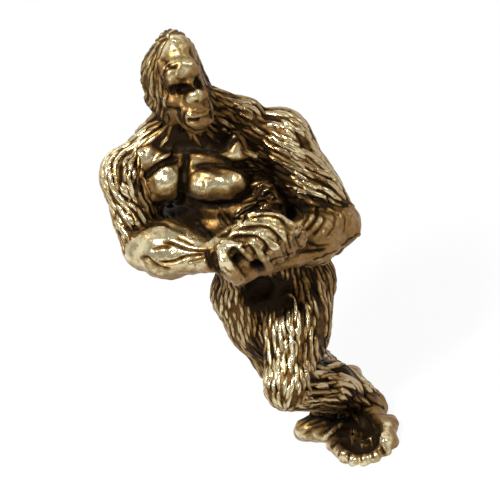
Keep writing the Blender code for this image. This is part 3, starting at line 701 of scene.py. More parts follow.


# Lines of the carving, read in the photograph.  Each has its half width and its
# depth in millimetres, then x and y of its points in pixels of the photograph.
CARVED_LINES = (
    # brow crease, eye line, nose, mouth and muzzle
    (0.15, 0.16, 152, 79, 160, 73, 167, 69, 173, 66, 180, 64),
    (0.15, 0.20, 163, 61, 168, 64, 173, 67, 178, 67),
    (0.13, 0.14, 158, 60, 164, 62, 169, 59),
    (0.13, 0.14, 176, 78, 182, 81, 188, 80),
    (0.28, 0.40, 167, 93, 174, 91, 181, 89, 188, 88, 196, 86, 203, 83),
    (0.15, 0.18, 191, 111, 196, 113, 203, 113, 208, 110),
    (0.16, 0.20, 209, 98, 212, 104, 210, 110),
    (0.17, 0.35, 186, 121, 194, 121.5, 202, 120),
    (0.13, 0.15, 202, 120, 209, 118, 216, 119),
    (0.20, 0.25, 186, 109, 182, 116, 184, 125, 191, 131, 200, 132, 210, 130, 218, 124),
    (0.22, 0.25, 210, 112, 215, 117, 219, 123),
    (0.20, 0.28, 161, 76, 161, 86, 164, 96, 161, 106, 160, 118, 158, 128),
    (0.26, 0.35, 178, 106, 177, 116, 180, 127, 184, 134),
    (0.16, 0.20, 155, 97, 155, 108, 152, 118),
    (0.15, 0.22, 163, 111, 170, 109, 178, 111),
    (0.16, 0.20, 190, 47, 194, 56, 200, 64, 206, 74, 212, 86),
    # neck, breastbone, collars and chest
    (0.45, 0.35, 150, 143, 165, 147, 180, 148, 195, 148, 210, 148, 226, 145),
    (0.30, 0.45, 186, 152, 185, 165, 183, 180, 182, 192, 180, 204),
    (0.26, 0.38, 141, 184, 146, 177, 153, 169, 161, 164, 170, 161, 180, 159),
    (0.25, 0.30, 146, 182, 145, 190, 147, 200, 157, 206, 168, 207, 175, 202),
    (0.24, 0.36, 204, 154, 215, 157, 227, 161, 240, 165, 252, 170, 263, 172),
    (0.22, 0.25, 190, 168, 202, 166, 216, 165, 232, 167, 243, 171, 250, 179),
    (0.28, 0.35, 188, 198, 200, 205, 216, 206, 232, 201, 246, 192),
    (0.20, 0.24, 228, 150, 232, 143, 240, 138, 247, 146, 252, 158, 258, 168),
    (0.16, 0.18, 212, 156, 220, 152, 228, 150),
    (0.10, 0.12, 197, 185, 199, 181, 203, 181, 205, 185, 203, 189, 199, 189, 197, 185),
    (0.20, 0.30, 194, 219, 200, 227, 206, 233, 216, 235, 227, 232, 229, 222, 226, 214),
    (0.40, 0.40, 148, 212, 162, 216, 176, 214, 190, 212),
    # the ribs' muscles in hooked rows
    (0.14, 0.28, 249, 198, 252, 190, 258, 183, 267, 179, 273, 181),
    (0.13, 0.28, 257, 200, 260, 192, 266, 187, 271, 190),
    (0.14, 0.30, 272, 184, 270, 194, 264, 203, 254, 209, 243, 214, 236, 220),
    (0.13, 0.28, 276, 190, 274, 200, 268, 209, 257, 214, 246, 218, 240, 224),
    (0.13, 0.26, 262, 202, 254, 206, 245, 209, 236, 214, 231, 220),
    # right shoulder and arm
    (0.20, 0.35, 112, 160, 111, 172, 113, 184, 117, 194, 126, 198, 137, 196),
    (0.20, 0.35, 122, 154, 131, 154, 138, 160, 140, 172, 138, 184, 131, 190),
    (0.12, 0.25, 122, 160, 120, 172, 120, 184, 122, 191),
    (0.12, 0.25, 128, 159, 127, 170, 125, 182, 127, 190),
    (0.12, 0.22, 134, 164, 133, 174, 131, 183),
    (0.14, 0.28, 118, 203, 126, 212, 134, 219, 146, 224),
    (0.13, 0.26, 124, 199, 134, 203, 142, 208, 149, 211),
    (0.12, 0.24, 122, 207, 131, 210, 138, 216, 142, 222),
    (0.22, 0.35, 122, 230, 134, 228, 146, 225, 160, 222, 174, 226),
    # right forearm's long wrinkles
    (0.16, 0.26, 160, 242, 172, 243, 184, 248, 196, 250, 212, 249),
    (0.15, 0.24, 150, 250, 162, 247, 172, 247),
    (0.16, 0.28, 156, 262, 166, 263, 176, 261, 184, 257, 196, 255, 208, 253),
    (0.15, 0.22, 138, 259, 146, 257, 152, 262, 160, 268, 172, 269),
    (0.14, 0.22, 186, 263, 196, 261, 206, 257),
    (0.15, 0.20, 176, 236, 186, 240, 194, 244),
    (0.22, 0.30, 206, 248, 207, 258, 210, 268, 214, 278),
    # hands: knuckle rows and the ring of thumb and forefinger
    (0.17, 0.34, 232, 222, 244, 218, 258, 215, 270, 214, 281, 219, 288, 229),
    (0.15, 0.32, 234, 230, 246, 227, 260, 226, 270, 229, 278, 238, 282, 248),
    (0.15, 0.32, 228, 238, 240, 236, 252, 236, 262, 241, 266, 250, 267, 260),
    (0.14, 0.28, 240, 246, 250, 247, 254, 254, 256, 262),
    (0.30, 0.50, 229, 249, 234, 252, 238, 256, 242, 261),
    (0.14, 0.26, 215, 248, 212, 258, 215, 268, 221, 276),
    (0.12, 0.20, 223, 262, 226, 270, 232, 274),
    (0.16, 0.26, 288, 232, 290, 242, 292, 252),
    (0.13, 0.20, 270, 262, 284, 257, 298, 254, 314, 251, 330, 249),
    # left arm: lens strands, folds at the elbow
    (0.22, 0.35, 262, 121, 270, 118, 280, 121, 286, 127),
    (0.16, 0.28, 244, 128, 254, 127, 264, 133, 272, 141, 281, 147, 290, 150),
    (0.16, 0.30, 247, 140, 256, 146, 266, 151, 276, 156, 286, 166),
    (0.14, 0.25, 270, 131, 279, 135, 288, 141, 298, 146, 308, 150),
    (0.13, 0.22, 292, 122, 298, 132, 303, 143, 306, 152),
    (0.14, 0.26, 296, 158, 306, 166, 318, 171, 330, 176, 338, 184),
    (0.14, 0.26, 286, 168, 298, 173, 312, 178, 326, 184, 340, 193),
    (0.13, 0.26, 282, 180, 294, 185, 306, 188, 320, 192, 334, 198),
    (0.13, 0.24, 280, 188, 290, 194, 302, 198, 314, 198),
    (0.20, 0.38, 278, 196, 290, 200, 304, 201, 318, 200, 334, 202, 352, 206),
    (0.30, 0.45, 282, 206, 290, 210, 300, 211, 308, 208),
    (0.16, 0.28, 316, 204, 317, 214, 312, 223, 304, 231, 298, 240),
    (0.14, 0.22, 308, 212, 304, 221, 296, 230),
    (0.15, 0.24, 322, 211, 325, 219, 320, 228, 312, 236),
    (0.14, 0.22, 330, 208, 336, 218, 333, 230, 324, 239),
    (0.13, 0.20, 342, 211, 347, 222, 343, 235),
    (0.14, 0.22, 306, 241, 318, 246, 332, 245),
    (0.13, 0.20, 300, 247, 312, 252, 326, 250),
    # tuft on the left shoulder
    (0.13, 0.26, 232, 96, 242, 98, 252, 101, 258, 106),
    (0.13, 0.28, 234, 102, 244, 105, 254, 110, 259, 116),
    (0.13, 0.28, 234, 109, 243, 112, 251, 117, 256, 121),
    (0.13, 0.24, 221, 116, 229, 120, 237, 125, 243, 131),
    (0.13, 0.24, 221, 124, 229, 129, 237, 134),
    (0.22, 0.34, 226, 100, 230, 108, 236, 116, 244, 124, 246, 132),
    # legs: the crease between them and the long folds of the calf
    (0.26, 0.34, 258, 316, 259, 330, 262, 345, 265, 360, 267, 376, 268, 392),
    (0.16, 0.26, 271, 338, 270, 352, 272, 368, 273, 384, 276, 396),
    (0.15, 0.26, 282, 336, 282, 350, 285, 362, 285, 376),
    (0.15, 0.26, 286, 350, 287, 342, 292, 338, 298, 342, 300, 354, 300, 370),
    (0.15, 0.26, 284, 305, 283, 316, 285, 330, 288, 334),
    (0.15, 0.24, 291, 302, 291, 314, 290, 328),
    (0.20, 0.30, 277, 298, 286, 290, 294, 292, 299, 302, 300, 316),
    (0.18, 0.26, 309, 268, 312, 280, 318, 290, 324, 296),
    (0.16, 0.22, 306, 300, 307, 316, 308, 332, 308, 350, 306, 368, 306, 380),
    (0.14, 0.20, 316, 302, 317, 318, 316, 334, 315, 350, 314, 362),
    (0.17, 0.26, 324, 270, 324, 280, 322, 290),
    (0.28, 0.40, 316, 368, 328, 368, 340, 370, 350, 372),
    (0.18, 0.32, 308, 380, 320, 381, 330, 379, 342, 376, 350, 378),
    (0.18, 0.32, 304, 389, 316, 388, 330, 388, 343, 386, 352, 386),
    (0.16, 0.26, 304, 400, 318, 398, 332, 398, 346, 396, 356, 392),
    (0.15, 0.22, 346, 384, 352, 392, 356, 402, 364, 408),
    (0.15, 0.22, 358, 384, 364, 392, 372, 400, 378, 404),
    # left foot: instep, sinews, toes and the great toe
    (0.55, 0.45, 350, 414, 360, 420, 366, 430, 362, 442),
    (0.45, 0.35, 340, 428, 346, 440, 356, 448, 370, 446, 376, 434, 372, 420),
    (0.15, 0.20, 318, 436, 328, 428, 338, 420, 348, 416),
    (0.14, 0.20, 324, 442, 334, 433, 342, 424),
    (0.16, 0.20, 296, 428, 306, 420, 318, 416, 330, 418),
    (0.14, 0.18, 302, 436, 312, 430, 322, 426, 332, 422),
    (0.16, 0.24, 298, 420, 308, 415, 320, 413, 330, 414),
    (0.15, 0.22, 306, 427, 316, 423, 326, 419, 336, 418),
    (0.16, 0.24, 328, 449, 334, 443, 341, 438),
    (0.16, 0.28, 340, 448, 336, 458),
    (0.16, 0.28, 349, 450, 346, 462),
    (0.16, 0.28, 360, 450, 360, 463),
    (0.16, 0.28, 370, 449, 373, 461),
    (0.16, 0.28, 379, 446, 386, 457),
)
# Strands that stand up, bright in the photograph, with half width, height and points
RAISED_LINES = (
    (0.25, 0.30, 252, 197, 255, 189, 262, 184, 270, 184),
    (0.22, 0.28, 261, 197, 264, 192, 268, 189, 272, 192),
    (0.24, 0.30, 266, 206, 256, 212, 246, 216, 238, 222),
    (0.22, 0.28, 260, 202, 250, 207, 240, 211, 233, 217),
    (0.22, 0.28, 274, 194, 272, 203, 266, 211),
    (0.18, 0.20, 222, 120, 229, 124, 236, 129),
    (0.25, 0.28, 233, 99, 244, 101, 254, 105),
    (0.25, 0.28, 235, 105, 245, 108, 256, 113),
    (0.25, 0.28, 238, 113, 248, 117, 255, 121),
    (0.20, 0.22, 222, 97, 230, 98, 236, 100),
    (0.20, 0.22, 222, 128, 229, 132, 235, 136),
    (0.17, 0.20, 126, 162, 125, 172, 125, 184),
    (0.15, 0.18, 131, 160, 130, 170, 129, 180),
    (0.20, 0.20, 126, 203, 134, 207, 141, 213),
    (0.22, 0.20, 264, 124, 273, 124, 280, 127),
    (0.20, 0.20, 284, 128, 290, 133, 297, 139),
    (0.22, 0.22, 258, 137, 267, 146, 277, 151),
    (0.18, 0.22, 302, 167, 312, 173, 322, 177),
    (0.18, 0.22, 316, 174, 326, 179, 334, 184),
    (0.18, 0.22, 288, 177, 298, 181),
    (0.18, 0.22, 296, 190, 306, 195),
    (0.18, 0.22, 318, 186, 330, 192),
    (0.24, 0.26, 266, 156, 274, 161, 283, 166),
    (0.24, 0.26, 250, 141, 258, 147, 264, 152),
    (0.22, 0.26, 281, 166, 290, 171, 300, 176),
    (0.22, 0.26, 284, 186, 294, 190, 302, 194),
    (0.22, 0.24, 300, 180, 310, 186, 318, 190),
    (0.22, 0.24, 306, 158, 316, 166, 326, 172),
    (0.22, 0.24, 288, 152, 296, 158, 304, 164),
    (0.20, 0.22, 300, 226, 306, 233, 304, 242),
    (0.20, 0.20, 275, 346, 277, 356, 282, 366, 280, 374),
    (0.20, 0.22, 288, 309, 287, 320, 288, 330),
    (0.20, 0.20, 287, 293, 294, 297, 296, 308, 296, 322),
    (0.18, 0.18, 289, 347, 292, 341, 297, 345, 296, 358),
    (0.26, 0.26, 310, 385, 324, 384, 340, 381),
    (0.26, 0.26, 306, 394, 320, 393, 340, 392),
    (0.20, 0.20, 322, 376, 332, 374, 344, 373),
    (0.18, 0.16, 323, 440, 333, 431, 343, 421),
    (0.18, 0.16, 348, 446, 352, 436, 354, 426),
    (0.16, 0.14, 360, 447, 361, 437, 361, 428),
    (0.16, 0.16, 372, 446, 370, 437, 366, 428),
    (0.16, 0.14, 382, 438, 377, 430, 370, 424),
    (0.20, 0.18, 156, 84, 159, 92, 160, 100),
    (0.22, 0.18, 227, 268, 222, 260, 221, 252, 227, 247),
)
CARVED_GAIN, CARVED_WIDTH = 1.25, 1.2   # how much deeper and wider the carving is worked
RAISED_GAIN = 1.5       # how much higher the raised strands are
RAISED_SHINE = 0.65     # how much brighter they are painted: the polish of their tops and a painted highlight
LONGEST_GAP = 0.6       # what is wider parts a line in two
LINE_REACH = 2.5        # how many half widths of a line are worked out on each side
TAPER, LINE_END = 2.2, 0.02     # how soon a line is deep, and the least share of it that counts
PIT_DEPTH, PIT_REACH = 0.9, 3   # of a pit, in its radii
LUMPS, BARE_LUMPS = 0.05, 1.5   # height of the unevenness, and how much of it bare skin has
LUMP_SEED, LUMP_WAVES, LUMP_LENGTHS = 11, 18, (0.9, 2.8)
# Small pits of the casting: pixel in the photograph and radius in millimetres
PITS = (((150, 194), 0.26), ((163, 39), 0.16),
        ((175, 51), 0.14), ((181, 50), 0.10), ((175, 74), 0.14), ((185, 80), 0.12),
        ((146, 68), 0.16), ((237, 146), 0.12), ((210, 179), 0.12), ((161, 183), 0.13),
        ((205, 196), 0.12), ((170, 237), 0.12), ((197.5, 102.5), 0.24), ((205.5, 105), 0.22))


class CellIndex:
    """Places sorted into cubes, so that those near a line are found quickly."""

    def __init__(self, places, size=1.0):
        self.size = size
        cells = np.floor(places / size).astype(int)
        self.low = cells.min(0) - 1
        self.span = cells.max(0) - self.low + 2
        keys = np.ravel_multi_index((cells - self.low).T, self.span)
        self.order = np.argsort(keys, kind="stable")
        self.keys = keys[self.order]

    def around(self, line, reach):
        """The numbers of the places inside the line's box, grown by the reach."""
        low = np.floor((line.min(0) - reach) / self.size).astype(int) - self.low
        high = np.floor((line.max(0) + reach) / self.size).astype(int) - self.low
        low, high = np.clip(low, 0, self.span - 1), np.clip(high, 0, self.span - 1)
        found = [np.zeros(0, int)]
        for x in range(low[0], high[0] + 1):
            for y in range(low[1], high[1] + 1):
                row = (x * self.span[1] + y) * self.span[2]
                first, last = np.searchsorted(self.keys, (row + low[2], row + high[2] + 1))
                found.append(self.order[first:last])
        return np.concatenate(found)


def unbroken(line, longest=LONGEST_GAP):
    """The parts of a line between jumps from one surface to another behind it."""
    jumps = np.flatnonzero(np.linalg.norm(np.diff(line, axis=0), axis=1) > longest)
    return [part for part in np.split(line, jumps + 1) if len(part) > 1]


def carve(limbs, places, height):
    """Work the listed lines and pits into the height of every place of the skin."""
    index = CellIndex(places)
    raised = np.zeros(len(places))
    tables = [(line, 1) for line in CARVED_LINES] + [(line, -1) for line in RAISED_LINES]
    curves = [smoothed(np.reshape(points, (-1, 2))) for (_, _, *points), _ in tables]
    spots, hit = seen(limbs, np.vstack(curves + [np.array([pixel for pixel, _ in PITS])]))
    first = 0
    for ((width, depth, *_), sign), curve in zip(tables, curves):
        line, good = spots[first:first + len(curve)], hit[first:first + len(curve)]
        first += len(curve)
        width *= CARVED_WIDTH if sign > 0 else 1
        for part in unbroken(line[good]):
            near = index.around(part, width * LINE_REACH)
            away, along_line = line_distance(places[near], part)
            share = np.clip(along_line, LINE_END, 1 - LINE_END)
            taper = np.clip(np.sin(np.pi * share) * TAPER, 0, 1)
            bump = taper * np.exp(-(away / width) ** 2)
            height[near] += bump * depth * (-CARVED_GAIN if sign > 0 else RAISED_GAIN)
            if sign < 0:
                raised[near] = np.maximum(raised[near], bump)
    for (_, radius), spot in zip(PITS, spots[first:]):
        near = index.around(spot[None], radius * PIT_REACH)
        away = np.linalg.norm(places[near] - spot, axis=1)
        height[near] -= radius * PIT_DEPTH * np.exp(-(away / radius) ** 2)
    return height, raised


def lumps(places):
    """A sum of random waves, about -1 to 1."""
    draw = np.random.default_rng(LUMP_SEED)
    ways = draw.normal(size=(LUMP_WAVES, 3))
    ways /= np.linalg.norm(ways, axis=1)[:, None]
    lengths = draw.uniform(*LUMP_LENGTHS, LUMP_WAVES)
    starts = draw.uniform(0, 2 * np.pi, LUMP_WAVES)
    total = sum(np.sin(places @ way * (2 * np.pi / length) + start)
                for way, length, start in zip(ways, lengths, starts))
    return total / np.sqrt(LUMP_WAVES)


# How the fur lies on each section, as a direction, how much of it there is, the size of
# its strands, and how much brighter than the rest the section is painted, lifting its painted
# shade
FUR = {
    "head": ((0.2, 0.5, -1.0), 1.0, 1.0, -0.05),
    "torso": ((0.15, 0.1, -1.0), 1.0, 1.15, 0.02),
    "hips": ((0.1, -0.1, -1.0), 1.0, 0.95, 0.06),
    "right_upper_arm": ((-0.2, -0.35, -1.0), 1.0, 1.15, 0.0),
    "left_upper_arm": ((0.45, -0.3, -1.0), 1.0, 1.35, 0.05),
    "right_forearm": ((0.75, -0.65, -0.1), 0.0, 1.0, -0.02),
    "left_forearm": ((-0.8, -0.55, 0.2), 0.12, 1.0, 0.04),
    "right_hand": ((1.0, -0.3, 0.0), 0.0, 1.0, 0.0),
    "left_hand": ((-0.6, -0.3, 0.5), 0.0, 1.0, 0.0),
    "right_thigh": ((0.1, -0.1, -1.0), 1.0, 0.95, 0.06),
    "left_thigh": ((-0.55, -0.5, -0.8), 1.0, 1.1, 0.02),
    "right_shin": ((0.3, 0.8, -0.6), 1.0, 1.2, 0.06),
    "left_shin": ((0.8, 0.45, -0.5), 0.9, 1.55, 0.08),
    "right_foot": ((0.0, 0.3, -1.0), 1.0, 1.0, 0.0),
    "left_foot": ((0.5, 0.3, -1.0), 1.0, 1.1, 0.0),
}
# The direction where the photograph shows it, as short arrows in its pixels
FUR_ARROWS = (
    (228, 100, 240, 103), (242, 106, 254, 111), (224, 122, 236, 129), (205, 75, 213, 88),
    (146, 84, 148, 96), (157, 84, 160, 96), (153, 108, 150, 120), (150, 128, 138, 138),
    (140, 138, 124, 146), (104, 166, 104, 184), (126, 160, 125, 180), (108, 200, 120, 214),
    (106, 214, 122, 232), (132, 206, 142, 216), (262, 124, 280, 127), (256, 138, 272, 150),
    (286, 130, 300, 142), (300, 150, 312, 156), (300, 166, 320, 174), (320, 178, 336, 187),
    (288, 178, 304, 185), (300, 192, 316, 199), (326, 168, 340, 184), (255, 192, 264, 184),
    (266, 205, 252, 212), (225, 300, 222, 316), (240, 308, 243, 326), (262, 330, 264, 360),
    (287, 300, 287, 330), (278, 345, 281, 370), (296, 340, 297, 370), (310, 300, 309, 350),
    (322, 300, 321, 340), (318, 376, 340, 373), (310, 386, 336, 384), (308, 394, 340, 393),
    (348, 382, 358, 396), (364, 384, 376, 398), (330, 356, 344, 366), (290, 380, 284, 396),
    (270, 360, 273, 390), (312, 270, 320, 290),
)
ARROW_REACH, ARROW_WEIGHT = 2.2, 4
LONGEST_ARROW = 4       # what is longer has jumped to another surface behind

# Where fur gives way to bare skin.  A pair runs from one to the other, in millimetres, and
# the places are those of the head's and the chest's own frames.
FACE_FRONT = (-0.2, 1.2)
FACE_MIDDLE, FACE_HALF, FACE_FADE = 0.2, 2.7, 0.8
CHEST_FRONT = (2.2, 3.2)
CHEST_BOTTOM, CHEST_RIGHT = (-5.6, -4.9), (-6.0, -5.0)
CHEST_LEFT, CHEST_TOP, CHEST_FADES = 6.0, 5.4, (1.2, 0.8)
FEET_TOP, HEM = (2.6, 3.6), (0.5, 1.5)
FUR_VALLEY = 0.17       # how far the skin sinks between strands
BALD = (0.3, 0.5)       # openness at which fur ends and starts
SHELTER_STEPS = (0.4, 0.9, 1.8, 3.2, 6.0)   # reaches at which the skin looks for what shades it
KEY_LIGHT_FROM = (-0.35, -0.55, 0.76)      # the side of the key lamp, whose light and cast shadow are painted into the colour
KEY_LIGHT_STEPS = (0.7, 1.5, 3.0, 5.0)
LOOK_FROM = 0.1         # height above the skin from which it looks
CROTCH_SHADE = Blob((-0.2, -2.6, 19.5), (2.4, 3.2, 2.0))    # painted shade in the crotch, black to its bottom
CROTCH_SHADE_EDGE, CROTCH_SHADE_LEFT = (-0.3, 0.6), 0.3     # where it fades, and what light is left in it
THIN = np.array([False] + [name.endswith(("hand", "foot")) for name in SECTIONS])
THIN_DEPTH, FULL_DEPTH = 0.34, 0.6      # the deepest carving in fingers and toes, and elsewhere
CROWDING = 1.6          # power by which large strands stand further apart
CLEARANCE = 0.01        # kept to the box of the solids
FRAME_LOW, FRAME_HIGH = [np.array(corner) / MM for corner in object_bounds()]


def inside_frame(places):
    """Keep places within the box of the solids."""
    return np.clip(places, FRAME_LOW + CLEARANCE, FRAME_HIGH - CLEARANCE)


def by_section(column, air, section):
    """What a column of the table of fur says for the section of each place."""
    return np.array([air] + [FUR[name][column] for name in SECTIONS], float)[section]


def fur_flow(limbs, skin, normals, section):
    """The direction of the fur at every place, along the skin."""
    flow = by_section(0, (0, 0, -1), section)
    flow /= np.linalg.norm(flow, axis=1)[:, None]
    ends, hit = seen(limbs, np.array(FUR_ARROWS, float).reshape(-1, 2))
    index = CellIndex(skin)
    for start, end, good in zip(ends[0::2], ends[1::2], hit[0::2] & hit[1::2]):
        length = np.linalg.norm(end - start)
        if not good or length > LONGEST_ARROW:
            continue
        near = index.around(np.array((start, end)), ARROW_REACH * 2)
        away, _ = line_distance(skin[near], np.array((start, end)))
        weight = ARROW_WEIGHT * np.exp(-(away / ARROW_REACH) ** 2)
        flow[near] += weight[:, None] * (end - start) / length
    flow -= (flow * normals).sum(1)[:, None] * normals
    return flow / np.maximum(np.linalg.norm(flow, axis=1), 1e-6)[:, None]


def fur_cover(places, section):
    """Where fur grows: 1 on the back and limbs, 0 on face, chest, hands and feet."""
    cover = by_section(1, 0, section)
    head = (places - HEAD) @ turned(HEAD_TURN)
    chest = (places - CHEST) @ turned(CHEST_TURN)
    face = (smoothstep(-head[:, 1], *FACE_FRONT)
            * smoothstep(FACE_HALF - np.abs(head[:, 0] - FACE_MIDDLE), 0, FACE_FADE))
    cover = np.where(section == NUMBER["head"], cover * (1 - face), cover)
    plates = (smoothstep(-chest[:, 1], *CHEST_FRONT) * smoothstep(chest[:, 2], *CHEST_BOTTOM)
              * smoothstep(CHEST_LEFT - chest[:, 0], 0, CHEST_FADES[0])
              * smoothstep(chest[:, 0], *CHEST_RIGHT)
              * smoothstep(CHEST_TOP - chest[:, 2], 0, CHEST_FADES[1]))
    cover = np.where(section == NUMBER["torso"], cover * (1 - plates), cover)
    feet = section >= NUMBER["right_foot"]
    height = places[:, 2]
    return cover * np.where(feet, smoothstep(height, *FEET_TOP), smoothstep(height, *HEM))


class Figure:
    """The carved skin of the whole figure, with what its materials and fur need."""

    def __init__(self, cell):
        self.limbs = figure_masses()
        skin = self.skin = Skin(self.limbs, LOW, HIGH, cell)
        skin.split()
        skin.settle(SETTLE_STEPS)
        skin.tuck(JOINT_DEPTH)
        chosen = np.flatnonzero(skin.on_skin)
        places, normal = skin.places[chosen], skin.normals()[chosen]
        section = np.zeros(len(skin.places), int)
        faces = skin.faces[skin.skin_faces]
        section[faces.ravel()] = np.repeat(skin.sides[skin.skin_faces].max(1), 4)
        section = section[chosen]
        # how open each place lies, which darkens the recesses: their patina and painted shade,
        # lifted by each section's painted brightness
        shelter = self.openness(places, normal, normal, SHELTER_STEPS) + by_section(3, 0, section)
        # painted shade: the crotch is darkened towards black
        outside_crotch_shade = smoothstep(CROTCH_SHADE.distance(places), *CROTCH_SHADE_EDGE)
        shelter *= CROTCH_SHADE_LEFT + (1 - CROTCH_SHADE_LEFT) * outside_crotch_shade
        # painted light and shadow of the key lamp: how free each place's way towards it is
        polish_and_painted_light = self.openness(places, normal, np.array(KEY_LIGHT_FROM), KEY_LIGHT_STEPS)
        cover = fur_cover(places, section) * smoothstep(shelter, *BALD)
        flow = fur_flow(self.limbs, places, normal, section)
        height, raised = carve(self.limbs, places, -FUR_VALLEY * cover)
        # a painted highlight on the raised strands, over their polish
        shelter += RAISED_SHINE * raised
        cover *= 1 - np.clip(2 * raised, 0, 1)
        self.values = {}
        for name, value in (("height", height), ("shelter", shelter), ("polish_and_painted_light", polish_and_painted_light),
                            ("fur", cover), ("strand", by_section(2, 1, section)),
                            ("section", section)):
            self.values[name] = np.ones(len(skin.places))
            self.values[name][chosen] = value
        self.values["flow"] = np.zeros((len(skin.places), 3))
        self.values["flow"][chosen] = flow
        height = np.maximum(height, np.where(THIN[section], -THIN_DEPTH, -FULL_DEPTH))
        height += LUMPS * (BARE_LUMPS - cover) * lumps(places)
        skin.places[chosen] = inside_frame(places + normal * height[:, None])
        self.normals = skin.normals()

    def openness(self, places, normal, way, steps):
        """How free the places are of metal ahead of them, from 0 to 1."""
        start = places + normal * LOOK_FROM
        return sum(np.clip((field(self.limbs, Cloud(start + way * step)) + SINK) / step, 0, 1)
                   for step in steps) / len(steps)

    def piece(self, name):
        """The mesh of one section with what its material reads."""
        mesh, used = self.skin.mesh("skin_" + name, [name])
        for key in ("height", "shelter", "polish_and_painted_light"):
            self.store(mesh, key, self.values[key][used])
        mesh.normals_split_custom_set_from_vertices(self.normals[used])
        return mesh

    def coat(self, name, names):
        """The whole skin, with fur on the named sections alone."""
        mesh, used = self.skin.mesh("coat_" + name, SECTIONS)
        for key in ("shelter", "polish_and_painted_light", "strand", "flow"):
            self.store(mesh, key, self.values[key][used])
        here = np.isin(self.values["section"][used], [NUMBER[one] for one in names])
        crowd = self.values["strand"][used] ** CROWDING
        self.store(mesh, "fur", self.values["fur"][used] * here / crowd)
        return mesh

    def store(self, mesh, key, values):
        kind, part = ("FLOAT", "value") if values.ndim == 1 else ("FLOAT_VECTOR", "vector")
        attribute = mesh.attributes.new(key, kind, "POINT")
        attribute.data.foreach_set(part, values.ravel().astype(np.float32))


@functools.lru_cache(maxsize=1)
def figure():
    return Figure(CELL)


def operator_pair(operation):
    """An operator of a socket with a number or a socket, and its reflected form."""
    def forward(self, other):
        return self.tree.node("ShaderNodeMath", {"operation": operation}, {0: self, 1: other})

    def reflected(self, other):
        return self.tree.node("ShaderNodeMath", {"operation": operation}, {0: other, 1: self})

    return forward, reflected


class Wire:
    """A socket whose sums, products and powers add Math nodes to its tree."""
    __add__, __radd__ = operator_pair("ADD")
    __sub__, __rsub__ = operator_pair("SUBTRACT")
    __mul__, __rmul__ = operator_pair("MULTIPLY")
    __truediv__, __rtruediv__ = operator_pair("DIVIDE")
    __pow__, __rpow__ = operator_pair("POWER")

    def __init__(self, tree, socket):
        self.tree, self.socket = tree, socket

    def clamped(self):
        return self.tree.node("ShaderNodeClamp", {}, {0: self})

    def step(self, low, high):
        """0 below low, 1 above high and smooth between."""
        return self.tree.node("ShaderNodeMapRange", {"interpolation_type": "SMOOTHSTEP"},
                              {"Value": self, "From Min": low, "From Max": high})


class Tree:
    """Makes nodes with their settings, values and links in one call."""

    def __init__(self, tree):
        self.tree = tree
        tree.nodes.clear()

    def node(self, kind, settings=None, values=None, output=0):
        """A new node's output; a number or colour is set on its socket, a wire is linked."""
        node = self.tree.nodes.new(kind)
        for key, value in (settings or {}).items():
            setattr(node, key, value)
        for key, value in (values or {}).items():
            socket = node.inputs[key]
            if isinstance(value, Wire):
                self.tree.links.new(value.socket, socket)
            else:
                socket.default_value = value
        return Wire(self, node.outputs[output]) if len(node.outputs) else node

    def other(self, wire, output):
        """Another output of the node that a wire comes from."""
        return Wire(self, wire.socket.node.outputs[output])

    def mix(self, share, a, b):
        """A colour between two colours."""
        return self.node("ShaderNodeMix", {"data_type": "RGBA"}, {0: share, 6: a, 7: b}, 2)


# The level of polish and painted light is a sum of the carving's height, how open the place lies
# (patina and painted shade in the recesses), how well the key lamp's light reaches it (painted
# light and cast shadow), and noises.  The metal turns from brown to bright about zero.
HEIGHT_WEIGHT = 1.6     # per millimetre
OPEN_WEIGHT, OPEN_MIDDLE = 0.60, 0.84
KEY_LIGHT_WEIGHT, KEY_LIGHT_MIDDLE = 0.14, 0.6
CLOUD_WEIGHT, GRAIN_WEIGHT = 0.26, 0.30
CLOUD_SCALE, GRAIN_SCALE, FINE_SCALE = 0.35, 1.6, 6.0   # of the noises, per millimetre
PIT_SCALE, PATCH_SCALE = 1.3, 0.7       # of the fine pits and of the patches that have them
BROWN_LOW, BROWN_HIGH = 0.18, 0.02      # the patina turns brown so far below and above low
SHINE_LOW, SHINE_HIGH = 0.6, 0.13       # the metal shines from this share of high to so far above
RELIEF = 0.12           # depth of the bumps in millimetres
CARVED = (-0.07, 0.03, 0.88)            # low, high and warmth of the carved skin
COMBED = (-0.05, 0.04, 0.6)             # and of the strands of fur


